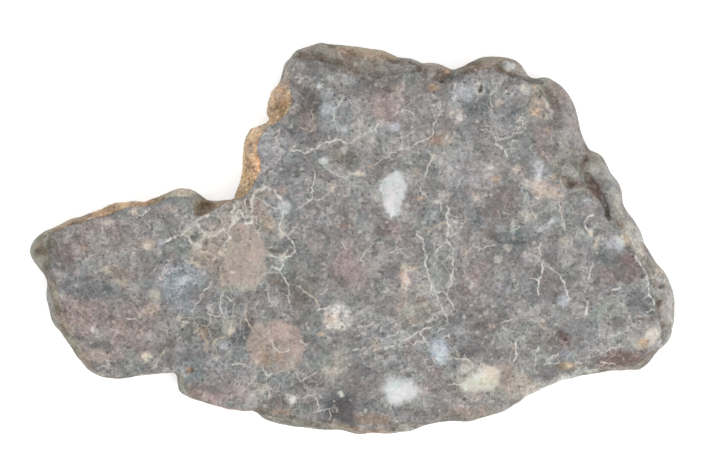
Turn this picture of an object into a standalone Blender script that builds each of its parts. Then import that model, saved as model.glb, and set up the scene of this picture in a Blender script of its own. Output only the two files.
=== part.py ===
"""A slice of lunar meteorite, lying on its sawn back with the polished face up.

The stone was cut twice, so its front and back are flat and parallel. Between the two cuts the
rim is the stone's natural outside: lumps, hollows and a long groove, sloping down and out from
the polished face. The rim is one loft of rings that follow two hand-drawn loops, the edge of the
polished face and the widest outline below it. A few gas holes are cut in the polished face.
Metres, +Z up, +X along the length, the origin in the middle of the sawn back.
"""

import math

import bmesh
import bpy
from mathutils import Vector, noise

# Driving sizes, in metres
LENGTH = 0.0419
THICKNESS = 0.0030

# How the rim falls from the polished face
FIRST_SLOPE = math.radians(24)
LOWEST_WIDEST = 0.16
HIGHEST_WIDEST = 0.78
STEEP_RIM = 0.0007
BACK_SLOPE = math.radians(62)
LEAST_UNDERCUT = 0.00012
MOST_UNDERCUT = 0.00060
LUMP_WALL = 0.6

# How far the widest line wanders up and down between the two cuts, and over what length
WANDER = 0.00055
WANDER_LENGTH = 0.0028
NEAREST_A_CUT = 0.00035

# The grain of the natural outside: its height, the size of its lumps, and how much of it the outline keeps
RELIEF = 0.00015
RELIEF_SIZE = 0.0017
RELIEF_LAYERS = 2
OUTLINE_RELIEF = 0.25

# The rim was cut off by the saw where it would stand higher: this close to the face, heights are eased
EASED = 0.00006

# How finely the loft is made
COLUMNS = 372
SLOPE_ROWS = 9
UNDER_ROWS = 2
HOLE_SEGMENTS = 10
HOLE_RINGS = 6

# The drawing that the loops are read from, in its pixels: its middle, and the length of the slice
DRAWING_MIDDLE = (353.0, 238.0)
DRAWING_LENGTH = 649.0

# Pairs along the rim, clockwise seen from above: x and y of the widest outline, then of the face's edge
LEFT_TIP = [
    (31, 261, 50, 259),
    (28.5, 256, 49.5, 254),
    (28.5, 249, 49, 249),
    (31, 243, 49, 243),
    (35, 238, 50, 238),
    (40, 233.5, 52, 235),
    (45, 230, 56, 232),
    (50, 229.5, 60, 230),
    (55, 226, 64, 228),
]
LEFT_LOBE_TOP = [
    (61, 224, 67, 227),
    (68, 220.5, 74, 225),
    (77, 218, 82, 224),
    (86, 214.5, 91, 221),
    (95, 211, 100, 218),
    (102, 207.5, 106, 216),
    (110, 204, 113, 214),
    (118, 202.8, 120, 211),
    (127, 203, 127, 208),
    (137, 201.5, 137, 207),
    (144, 202.5, 145, 207),
    (150, 199, 151, 206),
]
CREAM_LUMP_AND_HOLLOW = [
    (160, 195.5, 160, 202),
    (170, 191.5, 169, 198),
    (178, 188.5, 178, 197),
    (187, 188.3, 185, 198),
    (194, 190.5, 190, 201),
    (200, 194.5, 193, 206),
    (204, 198.5, 193, 212),
    (208, 200.2, 195, 217),
    (216, 200.5, 202, 216),
    (224, 200, 211, 212),
    (231, 199.8, 222, 205),
    (234, 198.5, 234, 200),
]
TAN_STEP = [
    (235, 193, 244, 197),
    (237, 186, 250, 190),
    (240, 176, 256, 181),
    (241.5, 166, 261, 171),
    (242, 157, 261, 162),
    (243, 147, 258, 152),
    (244, 139, 258, 144),
    (247, 133, 260, 138),
    (250, 127.5, 265, 132),
    (257, 126, 270, 127),
    (263, 123.5, 277, 123),
    (269, 119, 283, 118),
    (267, 115, 287, 114),
    (266, 112, 290, 109),
    (267, 105, 293, 103),
    (269, 97, 292, 96),
    (270.5, 91, 291, 90),
    (275, 86, 290, 84),
    (280, 81, 290, 79),
    (282, 73, 290, 73),
    (283, 67, 291, 68),
]
TOP_BAND = [
    (285, 61.5, 293, 64),
    (290, 57.5, 297, 61.5),
    (294, 51.5, 303, 60),
    (299, 48.5, 310, 60),
    (306, 45.5, 317, 61),
    (313, 43, 324, 63),
    (320, 41, 332, 65),
    (328, 43, 339, 69),
    (338, 43.5, 347, 74),
    (348, 44.5, 355, 78),
    (358, 46, 363, 80),
    (369, 47.5, 372, 80),
    (379, 48.5, 380, 79),
    (388, 51, 388, 77),
    (395, 55, 396, 75),
    (404, 57, 405, 73),
]
TAN_LUMP = [
    (413, 58, 414, 72),
    (420, 62, 420, 73),
    (430, 62, 428, 77),
    (438, 62.5, 436, 81),
    (444, 65, 443, 84),
    (449, 68, 450, 82),
    (456, 68, 457, 79),
]
SMOOTH_DOME = [
    (463, 66, 464, 76),
    (471, 61, 471, 73),
    (479, 56.5, 478, 71),
    (489, 55, 487, 70.5),
    (500, 56, 496, 71),
    (511, 57.5, 504, 74),
    (519, 61, 511, 77.5),
    (525, 69, 518, 79.5),
    (529, 76, 525, 81),
]
SHOULDER = [
    (537, 78, 533, 85),
    (546, 76.5, 539, 91),
    (556, 81, 544, 98),
    (566, 88.5, 548, 105),
    (572, 96, 550.5, 112),
    (577, 107, 552.5, 121),
    (580, 119, 554, 130),
    (582, 130, 553.5, 139),
    (586, 140, 552, 148),
    (591, 150, 550, 156),
]
GROOVED_LUMP = [
    (597, 151.5, 549.5, 163),
    (602, 154.5, 551, 170),
    (606, 159, 555, 178),
    (610, 167, 562, 185),
    (613, 174, 571, 190),
    (619, 180, 582, 192.5),
    (623, 187, 590, 196.5),
    (624.5, 195, 597, 203),
    (625, 204, 602, 211),
    (629, 211, 605.5, 219),
    (635, 219, 611, 226),
]
RIGHT_BAND = [
    (640, 227, 619, 230),
    (644, 236, 626, 235),
    (646, 243, 630, 243),
    (651, 250, 634, 252),
    (658, 262, 642, 266),
    (664, 270, 646, 274),
    (670, 279, 649, 282),
    (675, 290, 651, 291),
    (677.5, 300, 653, 299),
    (677, 308, 656, 307),
    (675.5, 318, 658, 316),
    (675, 326, 660, 324),
    (673, 335, 661, 331),
    (670, 341, 661, 337),
    (665, 346, 658, 343),
    (660, 350, 654, 348),
    (656, 353.5, 650, 351.5),
    (653, 359, 646, 355),
    (648, 365, 641, 360),
    (641, 370, 634, 364),
]
LOWER_RIGHT_SLOPE = [
    (632, 370.7, 625, 366.5),
    (622, 371.5, 616, 367),
    (612, 371, 608, 366),
    (603, 373, 600, 363.5),
    (592, 374.7, 591, 364),
    (580, 376, 580, 364),
    (573, 378.5, 572, 367),
    (564, 380, 565, 371),
    (557, 383, 558, 374),
    (549, 386.5, 549, 378),
    (541, 390.5, 540, 381),
    (535, 393, 534, 384),
    (528, 396.5, 528, 389),
    (520, 401, 520, 399),
]
BOTTOM_EDGE = [
    (513, 404.5, 513, 403),
    (507, 409, 506, 407.5),
    (500, 413, 499, 411),
    (482, 417.5, 482, 415.5),
    (466, 420.6, 466, 418.5),
    (448, 421.2, 448, 419),
    (430, 424, 432, 421.5),
    (423, 426, 424, 422.5),
    (416, 429.5, 417, 422),
    (409, 431.8, 410, 421),
    (400, 432.5, 402, 421),
    (392, 434, 394, 423.5),
    (383, 434.2, 386, 426.5),
    (373, 433.5, 376, 428),
    (366, 433.6, 368, 428.5),
    (360, 435, 361, 427.5),
    (353, 433.3, 353, 425),
    (345, 431.3, 344, 423),
    (336, 430.5, 335, 421),
    (317, 430.5, 317, 419),
    (301, 428.3, 300, 417.3),
    (282, 425.5, 283, 416),
    (273, 423.7, 275, 414.5),
    (266, 420.5, 269, 412.5),
    (259, 415.5, 263, 410.5),
    (254, 411.5, 257, 408),
    (240, 410.6, 242, 408),
    (226, 409.5, 228, 406.5),
    (208, 405, 210, 401.5),
    (193, 399.5, 196, 396),
    (187, 396.5, 191, 392.5),
]
LOWER_STEP = [
    (181, 394.5, 187, 388),
    (178, 392, 186, 384),
    (177, 386, 185, 380),
    (176.5, 380, 184, 376),
    (175.7, 374, 181, 372.5),
    (168, 373, 172, 371.3),
    (160, 373.8, 162, 371.7),
    (145, 375, 145, 373),
    (130, 378, 130, 376),
    (122, 379.5, 122, 377.3),
    (112, 379.5, 112, 376.8),
    (104, 378, 105, 374),
    (96, 375, 99, 370.5),
]
LEFT_SLOPE = [
    (89, 370.5, 94, 365.5),
    (82, 364, 90, 359),
    (76, 358, 86, 352),
    (71, 350.5, 81, 344),
    (65, 341, 76, 335),
    (58, 330.5, 71, 326),
    (51, 320.5, 67, 317.5),
    (48, 310, 64.5, 309),
    (46, 300, 62, 301),
    (45, 292, 59, 293),
    (46, 284, 56.5, 286),
    (44.5, 278, 54, 279),
    (40, 271, 52, 272),
    (36, 266, 51, 265),
]
RIM_PAIRS = (
    LEFT_TIP
    + LEFT_LOBE_TOP
    + CREAM_LUMP_AND_HOLLOW
    + TAN_STEP
    + TOP_BAND
    + TAN_LUMP
    + SMOOTH_DOME
    + SHOULDER
    + GROOVED_LUMP
    + RIGHT_BAND
    + LOWER_RIGHT_SLOPE
    + BOTTOM_EDGE
    + LOWER_STEP
    + LEFT_SLOPE
)

# Lumps and hollows of the rim: x and y in the drawing, radius in its pixels, height in metres
LUMPS = [
    # the dark hollow beside the face, the small one above it, and the saddle between them
    (565, 181, 8, -0.00085),
    (585, 159, 5, -0.00065),
    (578, 183, 7, -0.00055),
    # the long groove between the face and the outer lump
    (590, 180, 6, -0.00095),
    (597, 189, 6, -0.00115),
    (603, 198, 6, -0.00125),
    (607, 208, 6, -0.00120),
    (608, 217, 5, -0.00080),
    # the crest of the outer lump
    (598, 163, 6, 0.00045),
    (603, 174, 6, 0.00060),
    (610, 186, 6, 0.00070),
    (615, 198, 6, 0.00070),
    (618, 210, 7, 0.00060),
    # the shoulder above it: a long mound, and the shallow valley beside the face
    (566, 100, 9, 0.00045),
    (570, 118, 9, 0.00050),
    (568, 138, 10, 0.00040),
    (566, 155, 9, 0.00030),
    (556, 102, 6, -0.00035),
    # the right band's two swells and the waist between them
    (637, 238, 6, 0.00030),
    (650, 268, 6, -0.00025),
    (664, 292, 9, 0.00045),
    (667, 318, 8, 0.00030),
    # the dark hollow beside the cream lump
    (205, 208, 8, -0.00090),
    (214, 206, 6, -0.00050),
    (181, 193, 7, 0.00030),
    # the top: dark spots as hollows, the tan lump, the notch and the dome
    (303, 55, 5, -0.00040),
    (323, 58, 6, -0.00035),
    (340, 52, 6, 0.00030),
    (360, 60, 8, 0.00035),
    (376, 74, 5, -0.00040),
    (412, 66, 5, -0.00030),
    (433, 70, 6, 0.00040),
    (444, 78, 5, -0.00070),
    (489, 62, 8, 0.00045),
    (511, 66, 6, 0.00035),
    (533, 80, 5, -0.00040),
    # the tan step's pits and the left slope's swells
    (280, 105, 8, -0.00030),
    (268, 120, 6, 0.00030),
    (250, 150, 7, 0.00025),
    (40, 248, 7, -0.00030),
    (38, 238, 5, 0.00030),
    (55, 300, 7, 0.00025),
    (110, 208, 7, 0.00025),
    (330, 426, 7, 0.00025),
    (375, 431, 6, -0.00025),
    (405, 427, 6, 0.00025),
    (592, 369, 6, 0.00025),
]

# Gas holes in the polished face: x and y in the drawing, half length across and along, depth, in metres
GAS_HOLES = [
    (480, 89, 0.00012, 0.00028, 0.00025),
    (266, 393, 0.00014, 0.00013, 0.00018),
    (181, 319, 0.00013, 0.00012, 0.00014),
    (84, 312, 0.00015, 0.00011, 0.00014),
    (565, 339, 0.00016, 0.00014, 0.00012),
    (192, 370, 0.00013, 0.00013, 0.00013),
]

# Colours as the eye sees them on a grey day, linear
POLISHED_COLOUR = (0.245, 0.228, 0.226, 1)
RIND_COLOUR = (0.235, 0.205, 0.170, 1)


def from_drawing(x, y):
    """A point of the drawing, in metres from the middle of the slice."""
    scale = LENGTH / DRAWING_LENGTH
    return Vector(((x - DRAWING_MIDDLE[0]) * scale, (DRAWING_MIDDLE[1] - y) * scale, 0))


def curve_point(before, start, end, after, t):
    """The smooth curve through a loop's points, between start and end."""
    bend = 2 * before - 5 * start + 4 * end - after
    twist = 3 * start - before - 3 * end + after
    return 0.5 * (2 * start + (end - before) * t + bend * t**2 + twist * t**3)


def smooth_pairs(pairs, count):
    """The outline and the face's edge as smooth loops, each of count points spread evenly."""
    outline = [from_drawing(x, y) for x, y, _, _ in pairs]
    edge = [from_drawing(x, y) for _, _, x, y in pairs]
    steps = 12
    fine = []
    for i in range(len(pairs)):
        around = [(i + k) % len(pairs) for k in (-1, 0, 1, 2)]
        for step in range(steps):
            t = step / steps
            fine.append([curve_point(*(loop[k] for k in around), t) for loop in (outline, edge)])
    travelled = [0.0]
    for here, there in zip(fine, fine[1:] + fine[:1]):
        step = max((there[0] - here[0]).length, (there[1] - here[1]).length)
        travelled.append(travelled[-1] + step)
    spread = []
    k = 0
    for i in range(count):
        target = travelled[-1] * i / count
        while travelled[k + 1] <= target:
            k += 1
        t = (target - travelled[k]) / (travelled[k + 1] - travelled[k])
        here, there = fine[k], fine[(k + 1) % len(fine)]
        spread.append([here[j].lerp(there[j], t) for j in (0, 1)])
    return [pair[0] for pair in spread], [pair[1] for pair in spread]


def outward_directions(loop):
    """The direction out of the stone at each point of the loop, smoothed over a few neighbours."""
    reach = 4
    count = len(loop)
    directions = []
    for i in range(count):
        along = loop[(i + reach) % count] - loop[i - reach]
        directions.append(Vector((-along.y, along.x, 0)).normalized())
    return directions


def lump_height(place):
    """How much the lumps and hollows raise or lower the rim at a place."""
    height = 0.0
    for x, y, radius, rise in LUMPS:
        reach = radius * LENGTH / DRAWING_LENGTH
        distance = (place.xy - from_drawing(x, y).xy).length
        height += rise * math.exp(-((distance / reach) ** 2))
    return height


def grain(place):
    """The fine lumpiness of the natural outside, in metres."""
    return RELIEF * noise.fractal(place / RELIEF_SIZE, 0.7, 2.1, RELIEF_LAYERS)


def below_face(height):
    """A height on the rim, eased so that it always stays below the polished face."""
    excess = height - (THICKNESS - EASED)
    if excess <= 0:
        return height
    return THICKNESS - EASED / (1 + excess / EASED)


def rim_column(outline, edge, outward):
    """One column of the rim, from the edge of the polished face down to the sawn back."""
    width = (outline - edge).length
    steepness = math.exp(-width / STEEP_RIM)
    swell = noise.noise(outline / WANDER_LENGTH)
    widest = THICKNESS * (LOWEST_WIDEST + (HIGHEST_WIDEST - LOWEST_WIDEST) * steepness)
    widest = min(max(widest + WANDER * swell, NEAREST_A_CUT), THICKNESS - NEAREST_A_CUT)
    undercut = LEAST_UNDERCUT + (MOST_UNDERCUT - LEAST_UNDERCUT) * steepness
    undercut *= 1 - 0.5 * swell
    column = [Vector((edge.x, edge.y, THICKNESS))]
    for row in range(1, SLOPE_ROWS + 1):
        t = row / SLOPE_ROWS
        angle = FIRST_SLOPE + (math.pi / 2 - FIRST_SLOPE) * t
        reach = (math.sin(angle) - math.sin(FIRST_SLOPE)) / (1 - math.sin(FIRST_SLOPE))
        drop = (math.cos(FIRST_SLOPE) - math.cos(angle)) / math.cos(FIRST_SLOPE)
        place = edge.lerp(outline, reach)
        place.z = THICKNESS - (THICKNESS - widest) * drop
        middle = math.sin(math.pi * t)
        place.z += lump_height(place) * middle**LUMP_WALL
        share = max(middle, OUTLINE_RELIEF)
        place += (outward + Vector((0, 0, middle))) * grain(place) * share
        place.z = below_face(place.z)
        column.append(place)
    foot = column[-1]
    for row in range(1, UNDER_ROWS + 1):
        angle = BACK_SLOPE * row / UNDER_ROWS
        inward = (1 - math.cos(angle)) / (1 - math.cos(BACK_SLOPE))
        drop = math.sin(angle) / math.sin(BACK_SLOPE)
        place = foot - outward * undercut * inward
        place.z = foot.z * (1 - drop)
        column.append(place)
    return column


def stone_mesh():
    """The loft: a ring of columns closed by the two sawn faces."""
    outline, edge = smooth_pairs(RIM_PAIRS, COLUMNS)
    outward = outward_directions(outline)
    bm = bmesh.new()
    columns = []
    for places in zip(outline, edge, outward):
        columns.append([bm.verts.new(place) for place in rim_column(*places)])
    for here, there in zip(columns, columns[1:] + columns[:1]):
        for row in range(len(here) - 1):
            rind = bm.faces.new((here[row], there[row], there[row + 1], here[row + 1]))
            rind.material_index = 1
    bm.faces.new([column[0] for column in reversed(columns)])
    bm.faces.new([column[-1] for column in columns])
    bmesh.ops.recalc_face_normals(bm, faces=bm.faces)
    mesh = bpy.data.meshes.new("meteorite_slice")
    bm.to_mesh(mesh)
    bm.free()
    return mesh


def gas_hole(number, x, y, across, along, depth):
    """A small rounded cutter, centred on the polished face."""
    bm = bmesh.new()
    bmesh.ops.create_uvsphere(bm, u_segments=HOLE_SEGMENTS, v_segments=HOLE_RINGS, radius=1.0)
    bmesh.ops.scale(bm, vec=(across, along, depth), verts=bm.verts)
    bmesh.ops.translate(bm, vec=from_drawing(x, y) + Vector((0, 0, THICKNESS)), verts=bm.verts)
    mesh = bpy.data.meshes.new(f"gas_hole_{number}")
    bm.to_mesh(mesh)
    bm.free()
    cutter = bpy.data.objects.new(f"gas_hole_{number}", mesh)
    cutter.hide_render = True
    cutter.display_type = "WIRE"
    return cutter


def stone_material(name, colour, roughness):
    material = bpy.data.materials.new(name)
    material.use_nodes = True
    shader = material.node_tree.nodes["Principled BSDF"]
    shader.inputs["Base Color"].default_value = colour
    shader.inputs["Roughness"].default_value = roughness
    shader.inputs["Metallic"].default_value = 0.0
    return material


def collection_named(name):
    made = bpy.data.collections.new(name)
    bpy.context.scene.collection.children.link(made)
    return made


for old in list(bpy.data.objects):
    bpy.data.objects.remove(old, do_unlink=True)

stone_parts = collection_named("lunar_meteorite_slice")
cutters = collection_named("gas_hole_cutters")
for number, hole in enumerate(GAS_HOLES, start=1):
    cutters.objects.link(gas_hole(number, *hole))

slice_mesh = stone_mesh()
slice_mesh.materials.append(stone_material("polished_breccia", POLISHED_COLOUR, 0.35))
slice_mesh.materials.append(stone_material("weathered_rind", RIND_COLOUR, 0.80))
slice_mesh.shade_smooth()
slice_mesh.set_sharp_from_angle(angle=math.radians(40))

meteorite_slice = bpy.data.objects.new("meteorite_slice", slice_mesh)
stone_parts.objects.link(meteorite_slice)
holes = meteorite_slice.modifiers.new("gas holes", "BOOLEAN")
holes.operation = "DIFFERENCE"
holes.solver = "EXACT"
holes.operand_type = "COLLECTION"
holes.collection = cutters
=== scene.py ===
"""A slice of lunar meteorite, seen straight from above on a white table."""

import math
import random

import bmesh
import bpy
import numpy as np
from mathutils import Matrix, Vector, kdtree, noise
from mathutils.bvhtree import BVHTree
from mathutils.geometry import barycentric_transform, delaunay_2d_cdt


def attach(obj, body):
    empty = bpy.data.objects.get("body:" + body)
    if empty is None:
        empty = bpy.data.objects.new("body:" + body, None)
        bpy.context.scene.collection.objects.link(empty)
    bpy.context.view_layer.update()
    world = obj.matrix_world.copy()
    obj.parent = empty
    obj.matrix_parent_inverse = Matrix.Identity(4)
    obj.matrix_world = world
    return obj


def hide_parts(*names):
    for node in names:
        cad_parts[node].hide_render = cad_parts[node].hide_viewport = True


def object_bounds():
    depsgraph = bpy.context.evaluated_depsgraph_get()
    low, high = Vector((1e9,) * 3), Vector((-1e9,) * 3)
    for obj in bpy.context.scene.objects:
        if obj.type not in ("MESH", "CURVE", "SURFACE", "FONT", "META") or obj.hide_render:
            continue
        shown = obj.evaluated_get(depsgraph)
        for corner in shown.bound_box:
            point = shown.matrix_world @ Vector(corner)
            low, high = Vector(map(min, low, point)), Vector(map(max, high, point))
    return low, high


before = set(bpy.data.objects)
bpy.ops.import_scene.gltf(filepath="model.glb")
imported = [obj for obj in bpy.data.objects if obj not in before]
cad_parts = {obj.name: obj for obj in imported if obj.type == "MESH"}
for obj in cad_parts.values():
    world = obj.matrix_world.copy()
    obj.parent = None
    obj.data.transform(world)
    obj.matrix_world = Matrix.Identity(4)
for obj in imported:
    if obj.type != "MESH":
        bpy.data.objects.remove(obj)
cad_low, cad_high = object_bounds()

# The natural outside of the slice
# The rim is the stone's own weathered skin, left between two saw cuts: lumps, pits and a long groove.
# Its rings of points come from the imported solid, are spread more finely, smoothed and roughened.

THICKNESS = cad_high.z
RIM_COLUMNS = 1400
RIM_ROWS = 30
KNOBBLY_SKIN = 0.00011
FINE_SKIN = 0.000060
SUGARY_SKIN = 0.000095
SUGAR_GRAIN = 0.00036
EDGE_WEAR = 0.000016
WORN_BAND = 0.00008

# Positions on the stone are read from a drawing of it, in its own units: its middle, and one unit
DRAWING_MIDDLE = np.array([353.0, 238.0])
UNIT = 0.0419 / 649

# Pits in the skin: x and y in the drawing, radius in its units, depth in metres
SKIN_PITS = [
    (280, 88, 3.0, 0.00016),
    (284, 90, 2.5, 0.00014),
    (273, 119, 2.5, 0.00012),
    (271, 108, 2.5, 0.00014),
    (283, 104, 2.5, 0.00012),
    (282, 111, 3.0, 0.00014),
    (276, 99, 2.5, 0.00012),
    (266, 123, 2.5, 0.00010),
    (302, 55, 3.0, 0.00014),
    (322, 60, 3.0, 0.00012),
    (377, 76, 3.0, 0.00016),
    (442, 83, 3.0, 0.00018),
    (418, 67, 3.0, 0.00012),
    (412, 62, 3.0, 0.00010),
    (113, 211, 2.5, 0.00008),
    (155, 201, 2.5, 0.00010),
    (158, 198, 2.5, 0.00008),
    (570, 186, 4.0, 0.00018),
    (586, 161, 3.5, 0.00014),
    (606, 214, 3.0, 0.00018),
    (659, 304, 3.5, 0.00016),
    (656, 317, 3.5, 0.00016),
    (662, 287, 2.5, 0.00012),
    (664, 337, 3.5, 0.00014),
    (330, 427, 3.0, 0.00010),
    (393, 428, 3.0, 0.00010),
    (592, 368, 2.5, 0.00010),
    (246, 150, 2.5, 0.00010),
    (251, 168, 2.5, 0.00010),
    (256, 142, 2.5, 0.00010),
    (248, 178, 2.5, 0.00010),
    (40, 248, 4.0, 0.00012),
]

# Crests and furrows in the skin: points in the drawing, height in metres, half width in drawing units
SKIN_LINES = [
    ([(588, 163), (594, 173), (600, 184), (606, 196), (610, 208), (612, 222)], 0.00016, 3.0),
    ([(590, 176), (595, 184), (600, 192), (604, 200), (607, 210), (609, 219)], -0.00007, 2.0),
    ([(563, 182), (572, 188), (581, 190), (590, 194), (597, 203), (602, 212)], 0.00016, 3.5),
    ([(543, 84), (549, 92), (555, 102), (558, 114)], -0.00007, 2.5),
    ([(559, 93), (568, 106), (574, 122), (577, 140)], 0.00010, 5.0),
    ([(561, 163), (570, 160), (580, 168)], -0.00010, 3.0),
    ([(566, 173), (576, 177), (584, 178)], 0.00010, 2.5),
    ([(627, 228), (629, 238), (632, 248), (637, 258)], 0.00008, 2.5),
    ([(636, 228), (642, 238), (648, 250), (656, 262)], -0.00010, 3.5),
    ([(645, 262), (654, 268), (662, 272)], 0.00012, 3.5),
    ([(652, 282), (660, 285), (668, 284)], -0.00014, 3.0),
    ([(655, 290), (660, 297), (667, 299)], 0.00012, 3.0),
    ([(656, 322), (664, 326), (671, 326)], -0.00014, 3.0),
    ([(656, 334), (663, 333), (670, 334)], 0.00010, 3.0),
    ([(300, 60), (315, 57), (330, 61), (346, 66)], -0.00002, 3.0),
    ([(297, 50), (310, 48), (326, 51)], 0.00008, 3.0),
    ([(352, 60), (364, 58), (376, 61), (388, 66)], -0.00004, 3.0),
    ([(392, 60), (404, 66), (414, 70)], -0.00006, 3.0),
    ([(418, 74), (420, 66), (424, 62)], -0.00014, 2.5),
    ([(450, 76), (453, 68), (456, 62)], -0.00016, 2.5),
    ([(498, 72), (508, 75), (520, 77), (530, 82)], -0.00012, 2.5),
    ([(505, 68), (514, 67), (524, 70)], 0.00010, 2.5),
    ([(520, 398), (536, 388), (556, 380), (580, 373), (604, 369)], 0.00008, 3.0),
    ([(256, 418), (280, 417), (305, 419), (330, 424)], 0.00006, 2.5),
    ([(262, 424), (290, 425), (320, 428)], -0.00008, 2.5),
    ([(198, 210), (205, 206), (212, 206)], -0.00005, 3.0),
    ([(168, 197), (178, 192), (188, 191)], 0.00010, 3.5),
    ([(56, 292), (62, 312), (70, 330), (82, 350)], 0.00006, 4.0),
]

# Where the skin is rough and sugary: x, y, width and height in the drawing, and how much
SUGARY_PLACES = [
    (252, 152, 40, 90, 1.0),
    (278, 100, 36, 60, 1.0),
    (112, 207, 70, 26, 0.9),
    (170, 193, 40, 18, 0.4),
    (340, 54, 110, 30, 0.45),
    (430, 70, 50, 24, 0.6),
    (560, 378, 100, 24, 0.5),
    (662, 290, 30, 60, 0.35),
    (70, 330, 50, 80, 0.35),
    (330, 426, 170, 20, 0.35),
]


def in_drawing(places):
    """Places on the stone, as positions in the drawing."""
    return DRAWING_MIDDLE + places[:, :2] / (UNIT, -UNIT)


def on_stone(drawn):
    """Positions in the drawing, in metres on the stone."""
    return (np.asarray(drawn, float) - DRAWING_MIDDLE) * (UNIT, -UNIT)


def eased(low, high, values):
    """Values turned into shares that rise smoothly from 0 at low to 1 at high."""
    share = np.clip((values - low) / (high - low), 0, 1)
    return share * share * (3 - 2 * share)


def wandering(places, size, layers=1, shift=0.0):
    """Smooth random heights between about -1 and 1, over lumps of a size."""
    move = Vector((shift, shift, shift))
    return np.array([noise.fractal(Vector(place) / size + move, 0.8, 2.1, layers) for place in places])


def tree_of(points):
    """Points sorted so that the nearest is found quickly."""
    tree = kdtree.KDTree(len(points))
    for number, point in enumerate(points):
        tree.insert((point[0], point[1], 0), number)
    tree.balance()
    return tree


def gaps_to(tree, points):
    """The distance from each point to the nearest in the tree, and which that is."""
    found = [tree.find((x, y, 0)) for x, y in points]
    return np.array([row[2] for row in found]), np.array([row[1] for row in found])


def loop_of(edges):
    """The longest loop among these edges, as vertex numbers in order."""
    beside = {}
    for edge in edges:
        first, second = (vertex.index for vertex in edge.verts)
        beside.setdefault(first, []).append(second)
        beside.setdefault(second, []).append(first)
    longest = []
    unused = set(beside)
    while unused:
        loop = [min(unused)]
        unused.discard(loop[0])
        while True:
            further = [number for number in beside[loop[-1]] if number in unused]
            if not further:
                break
            loop.append(further[0])
            unused.discard(further[0])
        longest = max(longest, loop, key=len)
    return longest


def rim_of(node):
    """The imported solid's points, its rim triangles, and the loops round its front and back faces."""
    solid = bmesh.new()
    solid.from_mesh(node.data)
    bmesh.ops.remove_doubles(solid, verts=solid.verts, dist=1e-9)
    bmesh.ops.triangulate(solid, faces=solid.faces)
    solid.verts.index_update()
    places = np.array([vertex.co for vertex in solid.verts])
    front = {face for face in solid.faces if min(v.co.z for v in face.verts) > THICKNESS - 1e-6}
    back = {face for face in solid.faces if max(v.co.z for v in face.verts) < 1e-6}
    top = loop_of([edge for edge in solid.edges if len(front.intersection(edge.link_faces)) == 1])
    bottom = loop_of([edge for edge in solid.edges if len(back.intersection(edge.link_faces)) == 1])
    x, y = places[top, 0], places[top, 1]
    if np.sum(x * np.roll(y, -1) - y * np.roll(x, -1)) < 0:
        top = top[::-1]
    beside = {}
    for face in set(solid.faces) - front - back:
        numbers = [vertex.index for vertex in face.verts]
        for number in numbers:
            beside.setdefault(number, []).append(numbers)
    joined = set(top)
    waiting = list(top)
    triangles = set()
    while waiting:
        for numbers in beside[waiting.pop()]:
            triangles.add(tuple(numbers))
            waiting += [number for number in numbers if number not in joined]
            joined.update(numbers)
    solid.free()
    return places, np.array(sorted(triangles)), top, bottom


def unrolled(places, triangles, top, bottom):
    """Every rim point's share of the way round and of the way down, as if the rim were rolled out flat."""
    edges = np.vstack([triangles[:, [0, 1]], triangles[:, [1, 2]], triangles[:, [2, 0]]])
    here, there = np.vstack([edges, edges[:, ::-1]]).T
    count = np.maximum(np.bincount(here, minlength=len(places)), 1)
    steps = np.linalg.norm(places[top] - places[np.roll(top, -1)], axis=1)
    shares = np.concatenate([[0], np.cumsum(steps)[:-1]]) / steps.sum()
    across = np.zeros(len(places))
    near_top = tree_of(places[top])
    _, nearest = gaps_to(near_top, places[:, :2])
    across[:] = shares[nearest]
    down = (THICKNESS - places[:, 2]) / THICKNESS
    for _ in range(800):
        across[top] = shares
        turn = (across[there] - across[here] + 0.5) % 1 - 0.5
        across = (across + np.bincount(here, turn, len(places)) / count) % 1
        down[top] = 0
        down[bottom] = 1
        down += np.bincount(here, down[there] - down[here], len(places)) / count
    across[top] = shares
    down[top] = 0
    down[bottom] = 1
    return across, down


def even_grid(node):
    """Points evenly spread over the rim, in rows from the polished face down to the sawn back."""
    places, triangles, top, bottom = rim_of(node)
    across, down = unrolled(places, triangles, top, bottom)
    flat = []
    solid = []
    for corners in triangles:
        turns = across[corners]
        turns = turns[0] + (turns - turns[0] + 0.5) % 1 - 0.5
        for lap in (-1, 0, 1):
            if turns.max() + lap > -0.01 and turns.min() + lap < 1.01:
                flat.append([Vector((20 * (turn + lap), y, 0)) for turn, y in zip(turns, down[corners])])
                solid.append([Vector(place) for place in places[corners]])
    sheet = BVHTree.FromPolygons(
        [corner for corners in flat for corner in corners], [(3 * n, 3 * n + 1, 3 * n + 2) for n in range(len(flat))]
    )
    grid = np.empty((RIM_ROWS + 1, RIM_COLUMNS, 3))
    for row in range(RIM_ROWS + 1):
        for column in range(RIM_COLUMNS):
            wanted = Vector((20 * column / RIM_COLUMNS, row / RIM_ROWS, 0))
            spot, _, number, _ = sheet.find_nearest(wanted)
            grid[row, column] = barycentric_transform(spot, *flat[number], *solid[number])
    return spread_down(grid)


def spread_down(grid):
    """The grid with the points of each column evenly spaced."""
    travelled = np.vstack([np.zeros(RIM_COLUMNS), np.cumsum(np.linalg.norm(np.diff(grid, axis=0), axis=2), axis=0)])
    wanted = np.linspace(0, 1, RIM_ROWS + 1)
    wanted *= 0.6 + 0.4 * wanted
    spread = np.empty_like(grid)
    for column in range(RIM_COLUMNS):
        shares = travelled[:, column] / travelled[-1, column]
        for axis in range(3):
            spread[:, column, axis] = np.interp(wanted, shares, grid[:, column, axis])
    return spread


def smoothed(grid, passes):
    """The grid with its inner rows drawn towards their neighbours."""
    for _ in range(passes):
        inner = grid[1:-1]
        around = np.roll(inner, 1, 1) + np.roll(inner, -1, 1) + grid[:-2] + grid[2:]
        grid[1:-1] = 0.5 * inner + 0.125 * around
    return grid


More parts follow.
